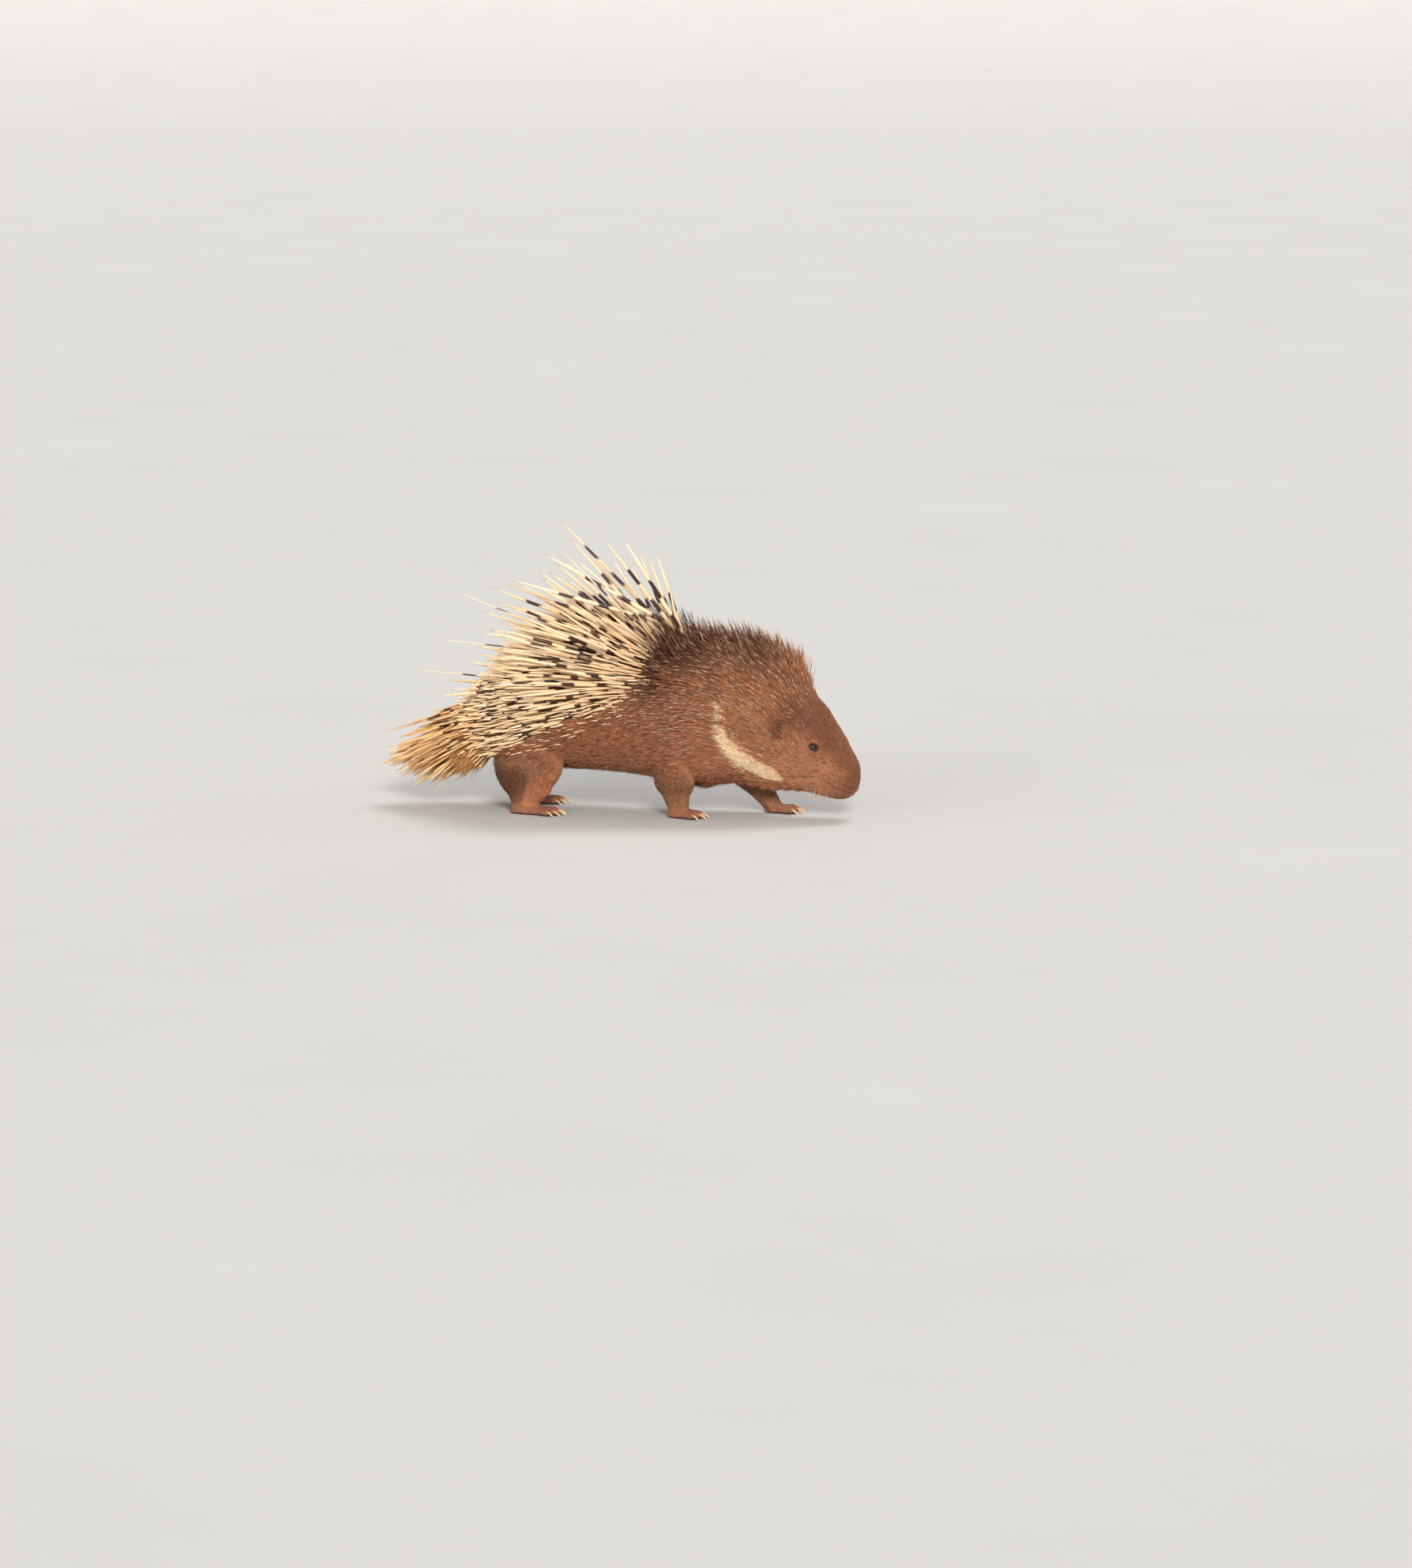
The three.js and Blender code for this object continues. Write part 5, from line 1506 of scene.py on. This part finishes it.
    split(
        "face_fur", 2, np.argsort(q["s"]), q, d=d, length=long, radius=rng.uniform(0.32, 0.58, n) * fine, mat=M_FUR, slot="coat",
        attrs=dict(tone=np.clip(rng.normal(0.5, 0.13, n), 0, 1), pale=(rng.random(n) < 0.10) * rng.uniform(0.3, 0.9, n), hue=hue),
        bend=-q["n"] * 0.12, stops=(0, 0.5), profile=(0.9, 0.8), flat=0.6, sink=0.6)

    # stiff dark hairs strewn over the cheeks and the muzzle
    rng = np.random.default_rng(SEED + 19)
    q = sam.take(330, body * smooth(s, 12.2, 13.4) * smooth(near_eye, 9, 12) * (mid[:, 0] < 396) * (e > -0.7) * smooth(near_ear, 14, 18), rng)
    n = len(q["s"])
    lay = back_of(q)
    strands(
        "face_bristles", q["p"], q["n"], raised(lay, q["n"], 20, rng, 9), rng.uniform(5, 10, n), rng.uniform(0.34, 0.50, n), M_FUR, "coat",
        dict(tone=np.full(n, 0.24), pale=(rng.random(n) < 0.3) * 1.0, hue=np.broadcast_to(srgb(94, 53, 36), (n, 3)) * rng.uniform(0.8, 1.3, (n, 1))),
        chart(q), -q["n"] * 0.1, stops=(0, 0.5), profile=(0.9, 0.8), flat=0.7, sink=0.6)

    # ---- the hairs on the ears' backs and rims
    rng = np.random.default_rng(SEED + 18)
    n = 1500
    u = rng.random(n)
    v = np.where(u < 0.30, rng.uniform(1.42, 1.62, n), np.where(u < 0.52, rng.uniform(0.95, 1.42, n), rng.uniform(1.6, 2.7, n)))
    w = rng.uniform(0, 2 * np.pi, n)
    one, two = ear_point(v, w), ear_point(v, w, 1.0)
    centre = ear_point(np.array([0.001]), np.array([0.0]))[0]
    out = unit(two - one + 0.3 * unit(one - centre))
    k_ = np.where(np.arange(n) % 2 == 0, 1.0, -1.0)
    p = one * np.stack([np.ones(n), k_, np.ones(n)], -1)
    out = out * np.stack([np.ones(n), k_, np.ones(n)], -1)
    q = dict(p=p, n=out, s=np.full(n, 12.0) + rng.random(n), w=rng.random(n) * 6, part=np.zeros(n))
    d = unit(out * 0.5 + np.array([-0.7, 0, 0.45]) + rng.normal(0, 0.16, (n, 3)))
    strands(
        "ear_fur", p, out, d, rng.uniform(4, 9, n), rng.uniform(0.24, 0.40, n), M_FUR, "coat",
        dict(tone=np.clip(rng.normal(0.5, 0.14, n), 0, 1), pale=(rng.random(n) < 0.35) * rng.uniform(0.3, 0.9, n), hue=np.broadcast_to(C_FACE, (n, 3))),
        chart(q), np.zeros((n, 3)), stops=(0, 0.5), profile=(0.9, 0.8), flat=0.6, sink=0.6)

    # the longer hair before the ear, lying back over its front half
    rng = np.random.default_rng(SEED + 21)
    q = sam.take(520, body * smooth(near_ear, 9, 12) * (1 - smooth(near_ear, 19, 25)) * (mid[:, 0] > EAR["x"] + 3) * (0.35 + smooth(mid[:, 2], 136, 150)), rng)
    n = len(q["s"])
    side = np.sign(q["p"][:, 1])
    goal = np.stack([EAR["x"] - 8 + rng.normal(0, 4, n), side * (EAR["y"] + 8), EAR["z"] + 5 + rng.normal(0, 7, n)], -1)
    way = unit(unit(goal - q["p"]) + 0.7 * back_of(q))
    way = unit(way - q["n"] * np.sum(way * q["n"], 1)[:, None])
    strands(
        "ear_cover", q["p"], q["n"], raised(way, q["n"], 33, rng, 8), rng.uniform(12, 21, n), rng.uniform(0.34, 0.56, n), M_FUR, "coat",
        dict(tone=np.clip(rng.normal(0.46, 0.14, n), 0, 1), pale=(rng.random(n) < 0.14) * rng.uniform(0.3, 0.9, n), hue=mixed(marking(q["p"], q["n"], q["s"], np.sin(q["w"]), q["part"]), rng, 0.7)),
        chart(q), -q["n"] * 0.14, stops=(0, 0.4, 0.75), profile=(0.85, 1.0, 0.6), flat=0.6, sink=0.8)

    # ---- legs and feet
    rng = np.random.default_rng(SEED + 8)
    z = mid[:, 2]
    dens = (sam.mpart == 1) * (1 - smooth(z, 52, 88)) + (sam.mpart == 2) * (sam.mn[:, 2] > -0.25) * smooth(z, 2.5, 6) * 1.3
    q = sam.take(16000, dens, rng)
    n = len(q["s"])
    p = q["p"]
    lay = back_of(q)
    foot = (q["part"] == 2) | (p[:, 2] < 24)
    d = raised(lay, q["n"], np.where(foot, 8, 9), rng, 6)
    long = fur_length(p, q["s"], np.sin(q["w"]), q["part"]) * rng.uniform(0.75, 1.2, n)
    hue = mixed(marking(p, q["n"], q["s"], np.sin(q["w"]), q["part"]), rng, 0.4)
    strands(
        "leg_fur", p, q["n"], d, long, np.where(foot, 0.34, 0.5) * rng.uniform(0.8, 1.2, n), M_FUR, "coat",
        dict(tone=np.clip(rng.normal(0.49, 0.08, n), 0, 1), pale=(rng.random(n) < 0.10) * rng.uniform(0.3, 0.8, n), hue=hue),
        chart(q), -q["n"] * 0.1, stops=(0, 0.5), profile=(0.9, 0.8), flat=0.6, sink=0.5)

    # ---- whiskers and the hairs of the chin
    rng = np.random.default_rng(SEED + 9)
    dens = body * (s > 15.0) * (s < 17.2) * (np.abs(mid[:, 1]) > 12) * (e > -0.45) * (e < 0.35)
    q = sam.take(26, dens, rng)
    n = 26
    k_ = np.sign(q["p"][:, 1])
    d = unit(np.stack([-0.30 + 0.3 * rng.random(n), 0.8 * k_, -0.18 + 0.28 * rng.normal(0, 1, n)], -1) + q["n"] * 0.3)
    strands(
        "whiskers", q["p"], q["n"], d, rng.uniform(28, 54, n), 0.2, M_FUR, "coat",
        dict(tone=np.full(n, 0.35), pale=np.zeros(n), hue=np.broadcast_to(srgb(126, 90, 70), (n, 3))), chart(q),
        np.stack([np.full(n, -0.20), np.zeros(n), rng.uniform(-0.30, -0.1, n)], -1), sides=4, stops=(0, 0.25, 0.5, 0.75, 0.92), profile=(1.0, 0.85, 0.7, 0.5, 0.3), flat=1.0, sink=0.8)
    rng = np.random.default_rng(SEED + 15)
    q = sam.take(70, body * (mid[:, 0] > 322) * (mid[:, 0] < 352) * (e < -0.6), rng)
    n = 70
    d = unit(np.stack([-0.15 + 0.2 * rng.normal(0, 1, n), 0.25 * rng.normal(0, 1, n), -np.ones(n)], -1))
    strands(
        "chin_hairs", q["p"], q["n"], d, rng.uniform(9, 20, n), 0.28, M_CREAM, "coat",
        dict(tone=np.full(n, 0.5), pale=np.ones(n), hue=np.broadcast_to(srgb(214, 186, 160), (n, 3))), chart(q), np.stack([np.full(n, -0.15), np.zeros(n), np.zeros(n)], -1),
        stops=(0, 0.4, 0.78), profile=(0.9, 1.0, 0.6), flat=0.9, sink=0.8)


# ------------------------------------------------------------------ eyes and claws
def eyes():
    for k, name in ((1, "left"), (-1, "right")):
        rings, sides = 40, 56
        ax = unit(np.array([0.30, 0.93 * k, 0.22]))
        side = unit(np.cross([0, 0, 1.0], ax))
        up = np.cross(ax, side)
        v = np.linspace(0.0, np.pi, rings + 1)[1:-1]
        w = np.linspace(0, 2 * np.pi, sides, endpoint=False)
        r = EYE_R * (1 + 0.035 * np.exp(-((v / 0.55) ** 2)))  # the cornea stands out a little
        pts = (ax[None, None] * (np.cos(v) * r)[:, None, None] + (side[None, None] * np.cos(w)[None, :, None] + up[None, None] * np.sin(w)[None, :, None]) * (np.sin(v) * r)[:, None, None])
        pts = np.concatenate([pts.reshape(-1, 3), [ax * EYE_R * 1.035], [-ax * EYE_R]]) + EYE * [1, k, 1]
        m = len(v)
        faces = lathe_faces(m, sides, False)
        top, low = m * sides, m * sides + 1
        faces += [(top, (j + 1) % sides, j) for j in range(sides)]
        faces += [(low, (m - 1) * sides + j, (m - 1) * sides + (j + 1) % sides) for j in range(sides)]
        o = new_object("eye_" + name + "_ball", mm(pts), faces, M_EYE)
        outward(o)
        along = np.concatenate([np.repeat(np.sin(v) * np.where(v < np.pi / 2, 1, 0) + (v >= np.pi / 2) * 1.0, sides), [0, 1]])
        put_attribute(o.data, "along", along)
        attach(o, "root")
        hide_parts("eye_" + name)


def claws():
    for name, f in FEET.items():
        verts, faces, along = [], [], []
        for t in toe_paths(f):
            place, reach, r = t["place"], t["reach"], t["r"]
            long = f["claw"]
            u = np.linspace(0, 1, 16)
            d = reach - 1.5 + u * (long + 4.2)
            drop = (r + 1.3) * (1 - u**2.1) + 0.95 * u**2.1 + 0.9 * np.sin(np.pi * u) * 0.9
            pts = [place(di, zi) for di, zi in zip(d, drop)]
            rad = 2.7 * np.clip(1 - u, 0, 1) ** 0.62 + 0.28
            g = tube_rings(pts, rad, 16, 0.72)
            base = len(verts)
            verts.extend(g.reshape(-1, 3))
            faces.extend(tuple(i + base for i in q) for q in lathe_faces(16, 16))
            along.extend(np.repeat(u, 16))
        v = np.array(verts)
        v[:, 2] = np.maximum(v[:, 2], 0.35)
        o = new_object("claws_" + name, mm(v), faces, M_CLAW)
        outward(o)
        put_attribute(o.data, "along", along)
        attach(o, "root")
        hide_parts(*[f"{name}_claw_{i + 1}" for i in range(len(f["toes"]))])


# ------------------------------------------------------------------ floor, light and camera
def stage():
    m, nt, bsdf = material("pale_floor")
    n = noise(nt, 1.3, 5, 0.6)
    c = ramp(nt, n, [(0.3, (0.60, 0.595, 0.585)), (0.7, (0.62, 0.615, 0.605))])
    nt.links.new(c, bsdf.inputs["Base Color"])
    rr = ramp(nt, noise(nt, 40, 3, 0.6), [(0.3, 0.88), (0.7, 0.95)])
    nt.links.new(rr, bsdf.inputs["Roughness"])
    bsdf.inputs["Specular IOR Level"].default_value = 0.0
    # a wide floor that sweeps up far behind, all round
    rings = [0.001, 2.0, 12.0, 60.0, 74.0, 82.0, 88.0, 92.0]
    high = [0.0, 0.0, 0.0, 0.0, 1.2, 4.0, 8.5, 15.0]
    sides = 96
    v = [(r * math.cos(2 * math.pi * j / sides), r * math.sin(2 * math.pi * j / sides), h) for r, h in zip(rings, high) for j in range(sides)]
    f = [(r * sides + j, r * sides + (j + 1) % sides, (r + 1) * sides + (j + 1) % sides, (r + 1) * sides + j) for r in range(len(rings) - 1) for j in range(sides)]
    o = new_object("floor", v, f, m)

    az, el = math.radians(13.0), math.radians(8.5)
    right = Vector((math.cos(az), math.sin(az), 0))
    fwd = Vector((-math.sin(az) * math.cos(el), math.cos(az) * math.cos(el), -math.sin(el)))
    up = right.cross(fwd)
    px = 0.00125  # metres of the animal for each pixel of the photo
    far = 8.0
    target = right * ((894 - 782.5) * px) + up * ((1027.9 - 993) * px)
    cam = bpy.data.cameras.new("camera")
    cam.sensor_width = 36
    cam.lens = 36 * far / (1986 * px)
    cam.clip_start, cam.clip_end = 0.05, 400
    c = bpy.data.objects.new("camera", cam)
    c.location = target - fwd * far
    c.rotation_euler = fwd.to_track_quat("-Z", "Y").to_euler()
    bpy.context.scene.collection.objects.link(c)
    bpy.context.scene.camera = c

    def sun(name, azimuth, elevation, strength, spread, colour):
        light = bpy.data.lights.new(name, "SUN")
        light.energy = strength
        light.angle = math.radians(spread)
        light.color = colour
        ob = bpy.data.objects.new(name, light)
        a, e = math.radians(azimuth), math.radians(elevation)
        ob.rotation_euler = Vector((-math.sin(a) * math.cos(e), math.cos(a) * math.cos(e), -math.sin(e))).to_track_quat("-Z", "Y").to_euler()
        bpy.context.scene.collection.objects.link(ob)

    sun("key", 20, 24, 2.85, 14, (1.0, 0.965, 0.91))
    sun("fill", -28, 11, 1.1, 34, (1.0, 0.985, 0.97))
    sun("top", 150, 62, 1.2, 24, (1.0, 0.99, 0.97))
    w = bpy.data.worlds.new("studio")
    w.use_nodes = True
    bg = w.node_tree.nodes["Background"]
    bg.inputs[0].default_value = (0.92, 0.91, 0.90, 1)
    bg.inputs[1].default_value = 0.50
    bpy.context.scene.world = w
    vs = bpy.context.scene.view_settings
    vs.view_transform = "Standard"
    vs.look = "None"


skin = finish_skin()
coat(skin)
eyes()
claws()
stage()
